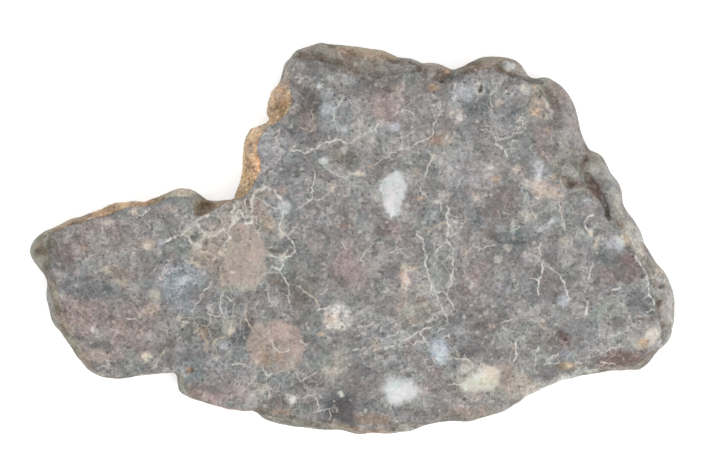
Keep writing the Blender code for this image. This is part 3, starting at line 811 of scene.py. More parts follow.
# Fragments: x, y, width and height in the drawing, degrees turned clockwise, colour, how much
FRAGMENTS = [
    (392, 203, 5, 24, 4, "milk", 0.9),
    (399, 186, 12, 24, 0, "pearl", 0.15),
    (382, 192, 9, 30, 0, "pearl", 0.3),
    (398, 392, 18, 16, -20, "milk", 0.6),
    (486, 377, 22, 16, -20, "cream", 0.55),
    (480, 375, 14, 9, -20, "milk", 0.35),
    (441, 350, 25, 28, 10, "haze", 0.5),
    (440, 351, 17, 20, 0, "ice", 0.75),
    (440, 355, 8, 8, 0, "milk", 0.5),
    (340, 311, 20, 12, 0, "milk", 0.35),
    (344, 322, 10, 12, 0, "pearl", 0.5),
    (334, 318, 8, 10, 0, "cream", 0.6),
    (343, 313, 7, 6, 0, "umber", 0.25),
    (338, 325, 12, 6, 0, "bone", 0.5),
    (328, 320, 8, 10, 0, "tan", 0.5),
    (280, 326, 20, 9, 0, "blush", 0.5),
    (293, 350, 16, 26, 0, "blush", 0.35),
    (264, 352, 12, 20, 0, "rust", 0.35),
    (268, 361, 8, 7, 0, "rust", 0.5),
    (279, 357, 9, 7, 0, "rust", 0.5),
    (288, 337, 10, 9, 0, "cream", 0.3),
    (276, 340, 6, 11, 0, "olive", 0.35),
    (244, 235, 26, 16, 0, "olive", 0.25),
    (250, 272, 26, 26, 0, "blush", 0.5),
    (236, 262, 16, 26, 0, "rose", 0.3),
    (238, 288, 36, 7, 0, "sage", 0.45),
    (224, 278, 7, 26, 0, "rust", 0.4),
    (265, 286, 10, 6, 0, "pearl", 0.5),
    (604, 310, 16, 14, 5, "sage", 0.35),
    (651, 337, 24, 12, -42, "cream clast", 0.9),
    (643, 344, 12, 10, -30, "ochre", 0.75),
    (658, 331, 9, 9, -30, "bone", 0.6),
    (460, 118, 5, 9, 25, "milk", 0.8),
    (358, 126, 13, 12, 0, "pearl", 0.7),
    (344, 131, 8, 6, 0, "ice", 0.5),
    (395, 128, 10, 10, 0, "ice", 0.5),
    (372, 140, 11, 8, 0, "bone", 0.5),
    (188, 300, 40, 20, 0, "slate", 0.3),
    (180, 281, 15, 9, 0, "ice", 0.45),
    (216, 382, 48, 26, 0, "slate", 0.35),
    (231, 331, 6.5, 9, 0, "cream", 0.95),
    (146, 357, 12, 9, 0, "cream", 0.95),
    (151, 310, 13, 14, 0, "tan", 0.6),
    (149, 245, 13, 12, 0, "cream", 0.6),
    (108, 222, 12, 8, -20, "bone", 0.7),
    (226, 346, 15, 11, 0, "pearl", 0.5),
    (225, 346, 8, 6, 0, "ice", 0.6),
    (292, 399, 11, 11, 0, "bone", 0.75),
    (292, 400, 6, 6, 0, "milk", 0.6),
    (565, 340, 12, 14, 0, "maroon", 0.85),
    (567, 366, 18, 9, -5, "ochre", 0.7),
    (393, 313, 12, 8, 50, "charcoal", 0.45),
    (266, 393, 9, 8, 0, "bone", 0.55),
    (268, 146, 24, 16, 0, "pearl", 0.35),
    (328, 109, 13, 13, 0, "ice", 0.35),
    (292, 149, 6, 6, 0, "cream", 0.5),
    (299, 83, 4, 4, 0, "bone", 0.8),
    (318.5, 86, 4.5, 4.5, 0, "milk", 0.8),
    (314, 104, 3, 3, 0, "bone", 0.7),
    (308, 113, 3, 3, 0, "bone", 0.6),
    (385, 113, 28, 16, 0, "blush", 0.3),
    (433, 87, 10, 8, 0, "ochre", 0.6),
    (407, 98, 8, 5, 0, "maroon", 0.6),
    (435, 101, 8, 4, 0, "charcoal", 0.6),
    (468, 92, 16, 12, 0, "ice", 0.25),
    (459, 116, 10, 16, 20, "blush", 0.5),
    (361, 126, 20, 14, 0, "blush", 0.35),
    (452, 113, 4, 4, 0, "cream", 0.7),
    (456, 98, 5, 7, 0, "lilac", 0.6),
    (480, 89.5, 9, 15, 5, "bone", 0.6),
    (480.5, 89.5, 4.5, 9, 5, "umber", 0.9),
    (499, 103, 7, 7, 0, "cream", 0.45),
    (436, 140, 16, 9, 0, "rust", 0.5),
    (447, 137, 4, 4, 0, "milk", 0.6),
    (470, 145, 10, 10, 0, "pearl", 0.45),
    (525, 89, 10, 11, 0, "bone", 0.7),
    (508, 91, 4, 4, 0, "cream", 0.7),
    (512, 95, 3, 4, 0, "milk", 0.6),
    (536, 86, 6, 6, 0, "ochre", 0.6),
    (543, 94, 6, 6, 0, "olive", 0.4),
    (537, 101, 5, 6, 0, "cream", 0.6),
    (548, 102, 7, 5, 0, "bone", 0.45),
    (536, 113, 10, 7, 30, "ochre", 0.5),
    (552, 112, 8, 8, 0, "blush", 0.5),
    (546, 118, 4, 10, 0, "cream", 0.55),
    (550, 91, 4, 7, -20, "ochre", 0.5),
    (547, 106, 4, 6, 0, "cream", 0.55),
    (626, 259, 26, 9, 25, "maroon", 0.6),
    (548, 129, 6, 5, 0, "ochre", 0.45),
    (533, 133, 6, 5, 0, "maroon", 0.5),
    (535, 143, 3, 3, 0, "charcoal", 0.8),
    (514, 141, 8, 4, -10, "bone", 0.7),
    (196, 235, 9, 11, 0, "teal", 0.7),
    (197, 246, 12, 8, 0, "bone", 0.8),
    (187, 233, 12, 7, -20, "cream", 0.4),
    (194, 238, 9, 8, 0, "charcoal", 0.45),
    (234, 220, 8, 8, 0, "bone", 0.75),
    (223, 253, 10, 10, 0, "cream", 0.35),
    (283, 257, 8, 9, 10, "bone", 0.65),
    (276, 252, 16, 7, 0, "umber", 0.65),
    (284, 247, 8, 12, 0, "teal", 0.4),
    (204, 256, 22, 13, 25, "tan", 0.45),
    (273, 224, 22, 13, 30, "tan", 0.45),
    (281, 191, 15, 9, 0, "tan", 0.4),
    (276, 279, 18, 12, 0, "umber", 0.35),
    (242, 221, 6, 7, 0, "teal", 0.7),
    (249, 220, 4, 5, 0, "teal", 0.7),
    (284, 207, 13, 16, 0, "milk", 0.5),
    (268, 200, 12, 9, 0, "haze", 0.5),
    (282, 235, 6, 6, 0, "cream", 0.7),
    (333, 189, 5, 5, 0, "cream", 0.8),
    (323, 161, 8, 5, 20, "milk", 0.6),
    (270, 212, 3.5, 3.5, 0, "milk", 0.8),
    (209, 257, 9, 9, 0, "umber", 0.4),
    (196, 264, 12, 4.5, 35, "cream", 0.85),
    (203, 238, 6, 7, 0, "cream", 0.5),
    (222, 252, 10, 6, 0, "cream", 0.4),
    (249, 244, 4, 4, 0, "charcoal", 0.6),
    (232, 272, 2.6, 2.8, 0, "milk", 0.8),
    (270, 196, 12, 9, 0, "blush", 0.4),
    (283, 189, 7, 9, 0, "blush", 0.5),
    (268, 225, 14, 20, 0, "ochre", 0.25),
    (213, 219, 8, 6, 0, "teal", 0.5),
    (292, 244, 6, 8, 0, "teal", 0.5),
    (270, 258, 7, 6, 0, "teal", 0.4),
    (278, 250, 8, 4, 0, "umber", 0.6),
    (386, 228, 22, 17, 0, "plum", 0.5),
    (392, 238, 14, 7, 0, "blush", 0.5),
    (385, 219, 28, 3.5, 28, "charcoal", 0.4),
    (359, 174, 12, 5, 0, "cream", 0.6),
    (370, 168, 6, 6, 0, "ochre", 0.5),
    (434, 157, 5, 5, 0, "cream", 0.7),
    (415, 171, 12, 6, 0, "tan", 0.5),
    (421, 198, 10, 5, 0, "ochre", 0.5),
    (438, 203, 7, 6, 0, "bone", 0.6),
    (456, 222, 4, 4, 0, "bone", 0.8),
    (344, 157, 14, 11, 0, "umber", 0.5),
    (382, 166, 3, 3, 0, "charcoal", 0.9),
    (345, 226, 9, 8, 0, "rust", 0.3),
    (353, 217, 10, 8, 0, "cream", 0.3),
    (461, 174, 8, 16, 0, "lilac", 0.5),
    (488, 171, 14, 15, 0, "pearl", 0.75),
    (495, 180, 8, 6, 0, "ochre", 0.45),
    (477, 196, 10, 8, 0, "cream", 0.35),
    (457, 190, 8, 6, 0, "maroon", 0.35),
    (409, 197, 8, 8, 0, "maroon", 0.35),
    (496, 209, 10, 12, 0, "maroon", 0.5),
    (455, 198, 10, 8, 0, "teal", 0.4),
    (484, 218, 14, 14, 0, "slate", 0.5),
    (498, 241, 8, 4, 30, "charcoal", 0.6),
    (517, 169, 7, 10, 0, "cream", 0.85),
    (538, 170, 10, 20, 5, "lilac", 0.7),
    (538, 187, 13, 13, 0, "blush", 0.6),
    (543, 189, 42, 17, 20, "blush", 0.55),
    (548, 192, 26, 9, 20, "cream", 0.5),
    (532, 183, 14, 12, 20, "bone", 0.5),
    (538, 169, 12, 22, 5, "milk", 0.3),
    (546, 226, 20, 5, -38, "ice", 0.6),
    (526, 216, 22, 12, -10, "cream", 0.3),
    (513, 228, 7, 14, 0, "pearl", 0.5),
    (527, 176, 24, 12, 40, "blush", 0.35),
    (545, 191, 5, 4, 0, "cream", 0.7),
    (538, 198, 5, 4, 0, "cream", 0.6),
    (527, 185, 6, 8, 0, "bone", 0.5),
    (497, 178, 6, 6, 0, "ochre", 0.45),
    (553, 178, 7, 6, 0, "ochre", 0.5),
    (559, 185, 7, 5, 30, "ochre", 0.5),
    (561, 163, 14, 9, 0, "sage", 0.4),
    (593, 204, 6, 5, 0, "slate", 0.4),
    (613, 243, 10, 8, 0, "pearl", 0.5),
    (622, 241, 14, 11, 0, "bone", 0.75),
    (618, 240, 6, 6, 0, "milk", 0.6),
    (626, 240, 8, 11, -20, "ochre", 0.5),
    (600, 254, 14, 10, 0, "teal", 0.4),
    (617, 261, 16, 6, 0, "charcoal", 0.5),
    (616, 243, 17, 13, 0, "ice", 0.6),
    (504, 212, 7, 20, 0, "olive", 0.4),
    (530, 199, 8, 8, 0, "slate", 0.5),
    (544, 198, 7, 6, 0, "umber", 0.3),
    (526, 214, 10, 12, 0, "pearl", 0.3),
    (521, 241, 20, 8, 0, "charcoal", 0.5),
    (536, 254, 9, 10, 0, "blush", 0.4),
    (525, 259, 5, 10, 0, "lilac", 0.5),
    (566, 228, 9, 11, 0, "sage", 0.5),
    (564, 241, 8, 11, 0, "cream", 0.45),
    (591, 233, 6, 6, 0, "cream", 0.8),
    (596, 244, 5, 10, 0, "cream", 0.5),
    (134, 211, 9, 7, 0, "cream", 0.6),
    (67, 237, 7, 10, 0, "bone", 0.35),
    (84, 247.5, 8, 4, 0, "rust", 0.5),
    (90, 248, 4, 3, 0, "charcoal", 0.5),
    (138, 244, 6, 8, 20, "rust", 0.3),
    (160, 241, 8, 7, 0, "lilac", 0.5),
    (164, 210, 26, 9, -5, "blush", 0.35),
    (174, 210, 8, 4, 0, "bone", 0.6),
    (186, 246, 10, 12, 0, "slate", 0.5),
    (107, 270, 10, 7, 0, "cream", 0.5),
    (123, 282, 13, 10, 0, "cream", 0.45),
    (124, 289, 8, 4, 0, "rust", 0.3),
    (96, 292, 32, 11, 0, "teal", 0.5),
    (63, 297.5, 8, 5, 0, "bone", 0.6),
    (59, 274, 7, 6, 0, "blush", 0.5),
    (141, 295, 5, 3.5, 0, "charcoal", 0.8),
    (155, 296, 12, 15, 0, "cream", 0.35),
    (157, 297, 5, 6, 0, "cream", 0.6),
    (158, 315.5, 7, 4, 0, "olive", 0.6),
    (134, 323, 4, 3, 0, "charcoal", 0.5),
    (140, 328, 5, 3, 0, "charcoal", 0.5),
    (118, 336.5, 5, 3, 0, "charcoal", 0.5),
    (84.5, 312, 6, 4, 0, "blush", 0.7),
    (93, 329, 3, 5, 0, "milk", 0.7),
    (105.5, 329, 4, 3, 0, "blush", 0.7),
    (104, 344, 20, 7, 0, "charcoal", 0.35),
    (131, 355, 9, 12, 0, "sage", 0.5),
    (152, 336, 16, 15, 0, "lilac", 0.35),
    (172, 341, 8, 22, 0, "maroon", 0.45),
    (170, 360, 8, 16, 0, "charcoal", 0.5),
    (179.5, 319, 7, 7, 0, "cream", 0.5),
    (183, 325, 5, 5, 0, "cream", 0.5),
    (183, 349, 8, 8, 0, "lilac", 0.4),
    (211, 308, 7, 8, 0, "pearl", 0.7),
    (237, 343, 9, 8, 0, "charcoal", 0.55),
    (204, 333, 7, 13, 0, "rust", 0.4),
    (215, 358, 4, 5, 0, "bone", 0.7),
    (256, 361, 4, 3, 0, "cream", 0.7),
    (225, 308, 8, 8, 0, "slate", 0.5),
    (249, 326, 9, 14, 0, "maroon", 0.4),
    (272, 311, 3.5, 7, -20, "charcoal", 0.6),
    (275, 282, 12, 6, 0, "umber", 0.5),
    (321, 334, 5.5, 5, 0, "ochre", 0.6),
    (318, 348, 6, 6, 0, "maroon", 0.4),
    (337, 342, 12, 8, 0, "charcoal", 0.5),
    (240, 336, 18, 16, 0, "ink", 0.6),
    (342, 411, 30, 24, 0, "charcoal", 0.85),
    (341, 395, 7, 6, 0, "bone", 0.75),
    (410, 405, 14, 13, 0, "sage", 0.4),
    (362, 408, 10, 12, 0, "ink", 0.5),
    (312, 358, 4, 3.5, 0, "charcoal", 0.7),
    (291, 370, 4, 4, 0, "charcoal", 0.7),
    (274, 368, 8, 5, 0, "pearl", 0.6),
    (325, 371, 8, 8, 0, "bone", 0.7),
    (333, 371, 7, 6, 0, "cream", 0.45),
    (407, 268, 16, 7, 0, "cream", 0.65),
    (404, 280, 8, 20, 0, "cream", 0.6),
    (415, 267, 8, 5, 0, "ochre", 0.5),
    (402, 273, 6, 6, 0, "rust", 0.5),
    (386, 291, 5, 3, 0, "cream", 0.6),
    (468, 293, 10, 8, 0, "maroon", 0.5),
    (480, 287, 6, 6, 0, "maroon", 0.4),
    (408, 312, 17, 12, 10, "bone", 0.45),
    (404, 303, 10, 9, 0, "blush", 0.45),
    (421, 300, 10, 7, 0, "rust", 0.35),
    (427, 306, 15, 9, 0, "tan", 0.35),
    (413, 320, 14, 3.5, 0, "rust", 0.4),
    (393, 323, 3.5, 3, 0, "charcoal", 0.7),
    (442, 318, 6, 5, 0, "charcoal", 0.6),
    (463, 309, 8, 4, 0, "charcoal", 0.5),
    (480, 312, 5, 4, 0, "charcoal", 0.5),
    (490, 308, 4, 4, 0, "charcoal", 0.5),
    (482, 325, 14, 6, 0, "maroon", 0.4),
    (465, 317, 4, 4, 0, "milk", 0.6),
    (492, 327, 5, 4, 0, "cream", 0.6),
    (449, 352, 5, 7, 0, "blush", 0.5),
    (480, 338, 20, 6, 0, "charcoal", 0.35),
    (468, 353, 18, 6, 0, "charcoal", 0.4),
    (357, 340, 5, 4, 0, "charcoal", 0.5),
    (375, 344, 12, 15, 0, "tan", 0.4),
    (373, 365, 4.5, 4.5, 0, "pearl", 0.6),
    (401, 367, 4.5, 3, 0, "ice", 0.7),
    (503, 287, 14, 10, 0, "lilac", 0.6),
    (563, 301, 12, 12, 0, "ice", 0.5),
    (569, 298, 5, 4, 0, "milk", 0.5),
    (577, 302, 8, 5, 0, "pearl", 0.4),
    (589, 280, 8, 5, 0, "bone", 0.6),
    (596, 293, 10, 10, 0, "pearl", 0.4),
    (618, 289, 26, 10, 0, "haze", 0.3),
    (642, 276, 5, 4, 30, "charcoal", 0.7),
    (628, 283, 6, 5, 0, "charcoal", 0.6),
    (647, 320, 16, 6, 10, "umber", 0.6),
    (632, 340, 15, 12, 0, "blush", 0.35),
    (603, 355, 7, 4, 0, "blush", 0.6),
    (543, 325, 8, 10, 0, "cream", 0.45),
    (536, 322, 6, 10, 0, "pearl", 0.5),
    (513, 346, 5, 5, 0, "cream", 0.6),
    (566, 355, 13, 10, 0, "haze", 0.6),
    (525, 354, 12, 8, 0, "charcoal", 0.45),
    (508, 348, 11, 11, 0, "charcoal", 0.4),
    (506, 368, 14, 11, 0, "tan", 0.4),
    (527, 341, 14, 8, 0, "sage", 0.35),
    (543, 280, 7, 8, 0, "maroon", 0.35),
    (568, 275, 10, 15, 0, "sage", 0.3),
    (573, 285, 6, 8, 0, "blush", 0.3),
    (308, 402, 11, 11, 0, "plum", 0.45),
    (306, 412, 12, 7, 0, "pearl", 0.4),
    (262, 385, 11, 9, 0, "maroon", 0.45),
    (255, 374, 6, 9, 20, "pearl", 0.6),
    (397, 411, 8, 10, 0, "slate", 0.6),
    (433, 392, 8, 8, 0, "maroon", 0.35),
    (440, 370, 10, 10, 0, "plum", 0.4),
    (462, 404, 7, 6, 0, "pearl", 0.5),
    (457, 398, 5, 4, 0, "cream", 0.5),
    (527, 380, 8, 5, 20, "umber", 0.6),
    (512, 402, 8, 5, 0, "maroon", 0.4),
    (595, 368, 6, 3.5, 0, "milk", 0.8),
    (190, 370, 8, 6, 0, "rust", 0.8),
    (637, 357, 4, 4, 0, "blush", 0.7),
    (622, 362, 52, 12, -4, "maroon", 0.75),
    (628, 364, 40, 7, -6, "umber", 0.5),
    (282, 413, 20, 5, 10, "rust", 0.4),
]

# Fragments with an outline of their own: its points in the drawing, colour, how much, how soft its edge
OUTLINED_FRAGMENTS = [
    (
        [(397, 171), (403, 177), (407, 187), (404, 196), (402, 203), (400, 212), (392, 216), (386, 212)]
        + [(383, 203), (382, 194), (378, 188), (381, 181), (388, 176)],
        "white clast",
        0.92,
        1.8,
    ),
    (
        [(390, 379), (404, 379), (416, 384), (421, 390), (417, 397), (408, 401), (394, 406), (386, 399), (384, 388)],
        "white clast",
        0.88,
        4.2,
    ),
    (
        [(460, 385), (465, 379), (474, 374), (483, 366), (494, 366), (500, 374), (499, 384), (492, 390), (476, 392)]
        + [(464, 390)],
        "cream clast",
        0.92,
        3.2,
    ),
    (
        [(233, 226), (243, 224), (252, 228), (259, 233), (264, 243), (266, 256), (266, 270), (262, 281), (254, 289)]
        + [(243, 291), (232, 287), (226, 277), (225, 262), (226, 250), (229, 240), (231, 232)],
        "tan clast",
        0.9,
        1.8,
    ),
    (
        [(262, 322), (274, 319), (288, 321), (298, 329), (304, 340), (305, 352), (300, 364), (290, 372), (277, 374)]
        + [(263, 371), (252, 362), (246, 350), (247, 337), (253, 327)],
        "pink clast",
        0.85,
        2.0,
    ),
    (
        [(326, 308), (336, 303), (346, 304), (352, 311), (353, 321), (349, 330), (340, 333), (330, 331), (323, 323)]
        + [(323, 314)],
        "crumbly clast",
        0.7,
        2.6,
    ),
    (
        [(163, 282), (172, 268), (188, 264), (203, 268), (211, 280), (211, 295), (204, 307), (190, 312), (174, 310)]
        + [(164, 298)],
        "haze",
        0.35,
        2.0,
    ),
    ([(593, 304), (600, 298), (614, 296), (624, 302), (627, 311), (618, 319), (604, 320), (595, 314)], "sage", 0.5, 2.0),
]

# Tints of the skin on the rim, given as the fragments are. A few dark ones are painted shade in its pits, hollows and
# creases, and a few pale ones are painted highlights on its lumps and on a crest.
SKIN_TINTS = [
    (42, 246, 30, 44, 0, "lichen", 0.6),
    (40, 240, 12, 10, 0, "olive", 0.4),
    (110, 207, 44, 16, -18, "rind", 0.85),
    (112, 206, 26, 10, -18, "sienna", 0.5),
    (110, 209, 16, 6, -18, "rust", 0.5),
    (75, 221, 56, 10, -22, "ochre", 0.6),
    (146, 201, 48, 10, -10, "rind", 0.7),
    # The two cream tints at the top of this lump are a painted highlight.
    (182, 192, 34, 9, -4, "cream", 0.6),
    (152, 201, 18, 8, 0, "rust", 0.4),
    (136, 204, 16, 8, 0, "sienna", 0.5),
    (180, 192, 20, 9, -10, "cream", 0.6),
    (159, 198, 14, 8, 0, "olive", 0.5),
    (204, 208, 24, 18, 0, "ochre", 0.5),
    (204, 208, 20, 14, 0, "olive", 0.3),
    (211, 208, 6, 5, 0, "umber", 0.35),
    (224, 203, 34, 9, -4, "ochre", 0.65),
    (236, 205, 14, 9, 0, "tan", 0.6),
    (250, 152, 34, 70, 0, "rind", 0.95),
    (275, 105, 34, 46, 0, "rind", 0.85),
    (280, 102, 14, 26, 0, "rust", 0.45),
    (242, 186, 20, 34, 0, "rind", 0.75),
    (288, 80, 8, 22, -5, "cream", 0.45),
    (343, 54, 124, 30, 4, "bark", 0.45),
    (312, 54, 34, 16, 0, "mauve", 0.4),
    (335, 47, 50, 8, 0, "lichen", 0.5),
    (372, 53, 60, 12, 8, "ochre", 0.5),
    (345, 50, 22, 8, 0, "sienna", 0.5),
    (382, 56, 12, 6, 8, "rust", 0.4),
    # This umber tint is painted shade in a pit of the skin.
    (303, 56, 12, 10, 0, "umber", 0.3),
    (404, 60, 12, 6, 8, "olive", 0.5),
    (433, 67, 24, 10, 10, "blush", 0.7),
    (434, 74, 30, 10, 10, "umber", 0.6),
    # This umber tint is painted shade in a pit and furrow of the skin.
    (418, 71, 14, 12, 0, "umber", 0.6),
    (447, 71, 8, 8, 0, "ochre", 0.6),
    # This charcoal tint is painted shade in a pit of the skin.
    (442, 83, 6, 6, 0, "charcoal", 0.7),
    (489, 64, 66, 26, 0, "bark", 0.85),
    (490, 66, 26, 10, 0, "taupe", 0.45),
    (478, 62, 30, 8, -20, "olive", 0.55),
    (466, 66, 16, 10, 0, "olive", 0.5),
    # These pearl and milk tints are a painted highlight on the top of the rounded lump.
    (508, 66, 16, 9, 15, "pearl", 0.75),
    (511, 65, 8, 5, 15, "milk", 0.6),
    (525, 71, 4, 12, -30, "bone", 0.5),
    # This umber tint is painted shade along the furrow at the foot of the rounded lump.
    (510, 75, 24, 4, 8, "umber", 0.5),
    (530, 81, 12, 6, 20, "maroon", 0.35),
    (570, 117, 30, 66, -15, "lilac", 0.4),
    (567, 122, 26, 58, -15, "mauve", 0.4),
    (558, 89, 30, 20, 35, "russet", 0.5),
    (564, 94, 14, 14, 0, "russet", 0.5),
    (552, 97, 10, 20, -35, "maroon", 0.2),
    (555, 86, 8, 12, 0, "umber", 0.35),
    (566, 105, 12, 10, 0, "pearl", 0.3),
    (558, 146, 10, 16, 0, "slate", 0.4),
    # The maroon, umber and russet tints from here down to the groove are painted shade in two hollows and a painted
    # shadow in the groove under the ledge's crest.
    (589, 153, 10, 8, 0, "maroon", 0.5),
    (575, 174, 8, 8, 0, "sage", 0.6),
    (562, 182, 10, 14, 0, "sienna", 0.4),
    (569, 185, 12, 7, 0, "umber", 0.7),
    (578, 189, 14, 6, 10, "tan", 0.4),
    (586, 163, 8, 14, 10, "umber", 0.45),
    (583, 175, 9, 8, 0, "olive", 0.4),
    (594, 188, 14, 26, -35, "russet", 0.6),
    (602, 205, 9, 24, -20, "maroon", 0.35),
    (608, 215, 5, 12, -10, "umber", 0.5),
    (596, 196, 10, 7, 30, "rust", 0.4),
    (612, 186, 18, 54, 25, "haze", 0.4),
    (600, 158, 20, 12, 30, "olive", 0.4),
    (620, 197, 6, 8, 0, "bone", 0.5),
    # This milk tint on the ledge's crest is a painted highlight.
    (607.5, 198, 3, 5, 0, "milk", 0.6),
    (616, 210, 12, 12, 0, "sage", 0.35),
    (620, 225, 14, 12, 20, "olive", 0.45),
    (635, 240, 12, 38, -27, "bone", 0.6),
    (634, 231, 7, 12, -20, "mauve", 0.3),
    (641, 239, 9, 16, 30, "pearl", 0.6),
    (629, 240, 7, 30, -18, "bone", 0.6),
    (656, 285, 18, 36, 25, "pearl", 0.5),
    (670, 300, 12, 50, 0, "pearl", 0.4),
    (661, 268, 18, 14, 30, "tan", 0.55),
    # These umber and charcoal tints are painted shade in pits of the skin.
    (659, 304, 9, 9, 0, "umber", 0.75),
    (662, 287, 6, 6, 0, "charcoal", 0.6),
    (656, 317, 9, 9, 0, "charcoal", 0.7),
    (653, 325, 12, 7, 0, "rust", 0.55),
    (666, 314, 12, 26, 0, "pearl", 0.5),
    (664, 338, 12, 12, 0, "teal", 0.55),
    (672, 330, 8, 16, 0, "sage", 0.4),
    (656, 338, 8, 16, -30, "milk", 0.7),
    (645, 363, 32, 10, -35, "umber", 0.4),
    (560, 379, 90, 14, -20, "pearl", 0.55),
    (600, 371, 40, 10, -5, "sage", 0.5),
    # This charcoal tint is painted shade in a pit of the skin.
    (592, 367, 12, 5, 0, "charcoal", 0.5),
    (530, 392, 20, 10, -30, "bone", 0.45),
    (300, 423, 100, 16, 3, "olive", 0.6),
    (275, 412, 34, 12, 12, "umber", 0.5),
    (340, 428, 26, 8, 3, "lichen", 0.4),
    (373, 429, 44, 12, 0, "rust", 0.45),
    (402, 428, 26, 12, 0, "sage", 0.4),
    # This charcoal tint is painted shade in a pit of the skin.
    (390, 429, 10, 6, 0, "charcoal", 0.5),
    (226, 407, 36, 8, 8, "rose", 0.5),
    (200, 399, 26, 8, 18, "olive", 0.4),
    (180, 384, 10, 24, 0, "sage", 0.6),
    (62, 322, 14, 14, 0, "tan", 0.45),
    (70, 338, 14, 34, -30, "lichen", 0.5),
    (56, 300, 12, 40, -12, "lichen", 0.5),
    (79, 354, 12, 14, 0, "olive", 0.55),
    (96, 371, 24, 8, 30, "olive", 0.4),
    (118, 378, 40, 6, 0, "umber", 0.5),
    (140, 375, 14, 5, 0, "pearl", 0.5),
    (84, 360, 20, 14, 45, "sienna", 0.4),
    (645, 240, 12, 30, -30, "pearl", 0.4),
]

STUDIO_LIGHT = 1.34
VEIN_STEP = 0.7
VEIN_KINK = 0.26
SPRIG_CHANCE = 0.12
DEEPEST = THICKNESS / UNIT
LEAN_BELOW = 0.0010

# The wobble of the fragments' edges is drawn from this seed, so it is the same each time
WOBBLE_SEED = 4
noise.seed_set(WOBBLE_SEED)


def linear(colour):
    """A colour seen in the studio light, as the shader's own colour, which that light makes brighter."""
    share = np.array(colour, float) / 255
    return np.where(share <= 0.04045, share / 12.92, ((share + 0.055) / 1.055) ** 2.4) / STUDIO_LIGHT


def paint(name):
    """One of the stone's colours, with how even it is."""
    return np.append(linear(STONE_COLOURS[name]), EVENNESS.get(name, 0))


def vein_path(points, luck):
    """Points close together along a vein, with its small kinks: x, y and share of the way along."""
    for _ in range(2):
        steps = np.diff(points, axis=0)
        aside = np.array([[luck.uniform(-VEIN_KINK, VEIN_KINK)] for _ in steps]) * steps[:, ::-1] * (1, -1)
        middles = points[:-1] + steps / 2 + aside
        points = np.insert(points, range(1, len(points)), middles, axis=0)
    travelled = np.concatenate([[0], np.cumsum(np.hypot(*np.diff(points, axis=0).T))])
    count = max(int(travelled[-1] / VEIN_STEP), 3)
    wanted = np.linspace(0, travelled[-1], count + 1)
    path = np.column_stack([np.interp(wanted, travelled, points[:, axis]) for axis in (0, 1)])
    return path, np.arange(count + 1) / count


def drawn_veins():
    """Points close together along every vein: position, half width, tan share and strength."""
    luck = random.Random(11)
    rows = []
    sprigs = []
    for veins, width, strength, tan in (
        (THICK_VEINS, 1.2, 1.0, 0.05),
        (BROAD_VEINS, 0.56, 0.95, 0.05),
        (FINE_VEINS, 0.33, 0.8, 0.08),
        (TAN_VEINS, 0.6, 0.75, 0.8),
    ):
        for vein in veins:
            path, shares = vein_path(np.array(vein, float), luck)
            seed = luck.uniform(0, 100)
            own_tan = min(max(tan + luck.uniform(-0.15, 0.3), 0), 1)
            for (x, y), share in zip(path, shares):
                swell = 1 + 1.5 * noise.noise(Vector((x / 3.4, y / 3.4, seed)))
                end = min(share, 1 - share) * len(path) / 5 + 0.4
                rows.append((x, y, width * swell * min(end, 1), own_tan, strength * min(end, 1)))
            for number in range(3, len(path) - 1):
                if luck.random() < SPRIG_CHANCE * (1.6 if width > 0.7 else 0.8):
                    sprigs.append((path[number], path[number] - path[number - 1], luck.choice((-1, 1))))
    for start, forward, side in sprigs:
        angle = math.atan2(forward[1], forward[0]) + side * luck.uniform(0.6, 1.5)
        reach = luck.uniform(3.0, 13.0)
        bend = angle + luck.uniform(-0.7, 0.7)
        middle = start + 0.5 * reach * np.array([math.cos(angle), math.sin(angle)])
        tip = middle + 0.5 * reach * np.array([math.cos(bend), math.sin(bend)])
        path, shares = vein_path(np.array([start, middle, tip]), luck)
        strength = luck.uniform(0.25, 0.65)
        for (x, y), share in zip(path, shares):
            rows.append((x, y, 0.3 * (1.1 - share), 0.15, strength * (1 - 0.7 * share)))
    return np.array(rows)


def leaned(places):
    """Places seen in the drawing, with the pattern leaning over near the back of the slice."""
    drawn = in_drawing(places)
    share = np.clip((LEAN_BELOW - places[:, 2]) / LEAN_BELOW, 0, 1)
    lean = np.array([noise.noise_vector(Vector((x / 90, y / 90, 5.0))) for x, y in drawn])
    return drawn + lean[:, :2] * share[:, None] * 34


def unleaned(drawn):
    """Where points of the drawing come out on the sawn back."""
    places = drawn.copy()
    for _ in range(6):
        back = np.column_stack([on_stone(places), np.zeros(len(places))])
        places += drawn - leaned(back)
    return on_stone(places)


def wobbled(drawn, places, size, amount, shift):
    """Positions pushed about at random, so that the edges of fragments are ragged."""
    move = Vector((shift, shift, shift))
    push = np.array([noise.noise_vector(Vector(place) / (size * UNIT) + move) for place in places])
    return drawn + push[:, :2] * amount


def stained(tone, drawn, depth, marks, softness, thick):
    """The tones with elliptical marks laid over them, each as thick as it is wide."""
    for x, y, width, height, turned, colour, amount in marks:
        angle = math.radians(turned)
        across = drawn - (x, y)
        along = (across[:, 0] * math.cos(angle) + across[:, 1] * math.sin(angle)) * 2 / width
        aside = (across[:, 1] * math.cos(angle) - across[:, 0] * math.sin(angle)) * 2 / height
        down = depth / max(0.5 * (width + height) * thick, 5)
        reach = np.sqrt(along**2 + aside**2 + down**2)
        share = amount * eased(1 + softness, 1 - softness, reach)
        tone += (paint(colour) - tone) * share[:, None]
    return tone


def inside(points, loop):
    """Whether each point lies inside the loop."""
    x, y = points.T
    within = np.zeros(len(points), bool)
    for (here_x, here_y), (there_x, there_y) in zip(loop, np.roll(loop, -1, axis=0)):
        if here_y != there_y:
            crosses = (here_y > y) != (there_y > y)
            within ^= crosses & (x < (there_x - here_x) * (y - here_y) / (there_y - here_y) + here_x)
    return within


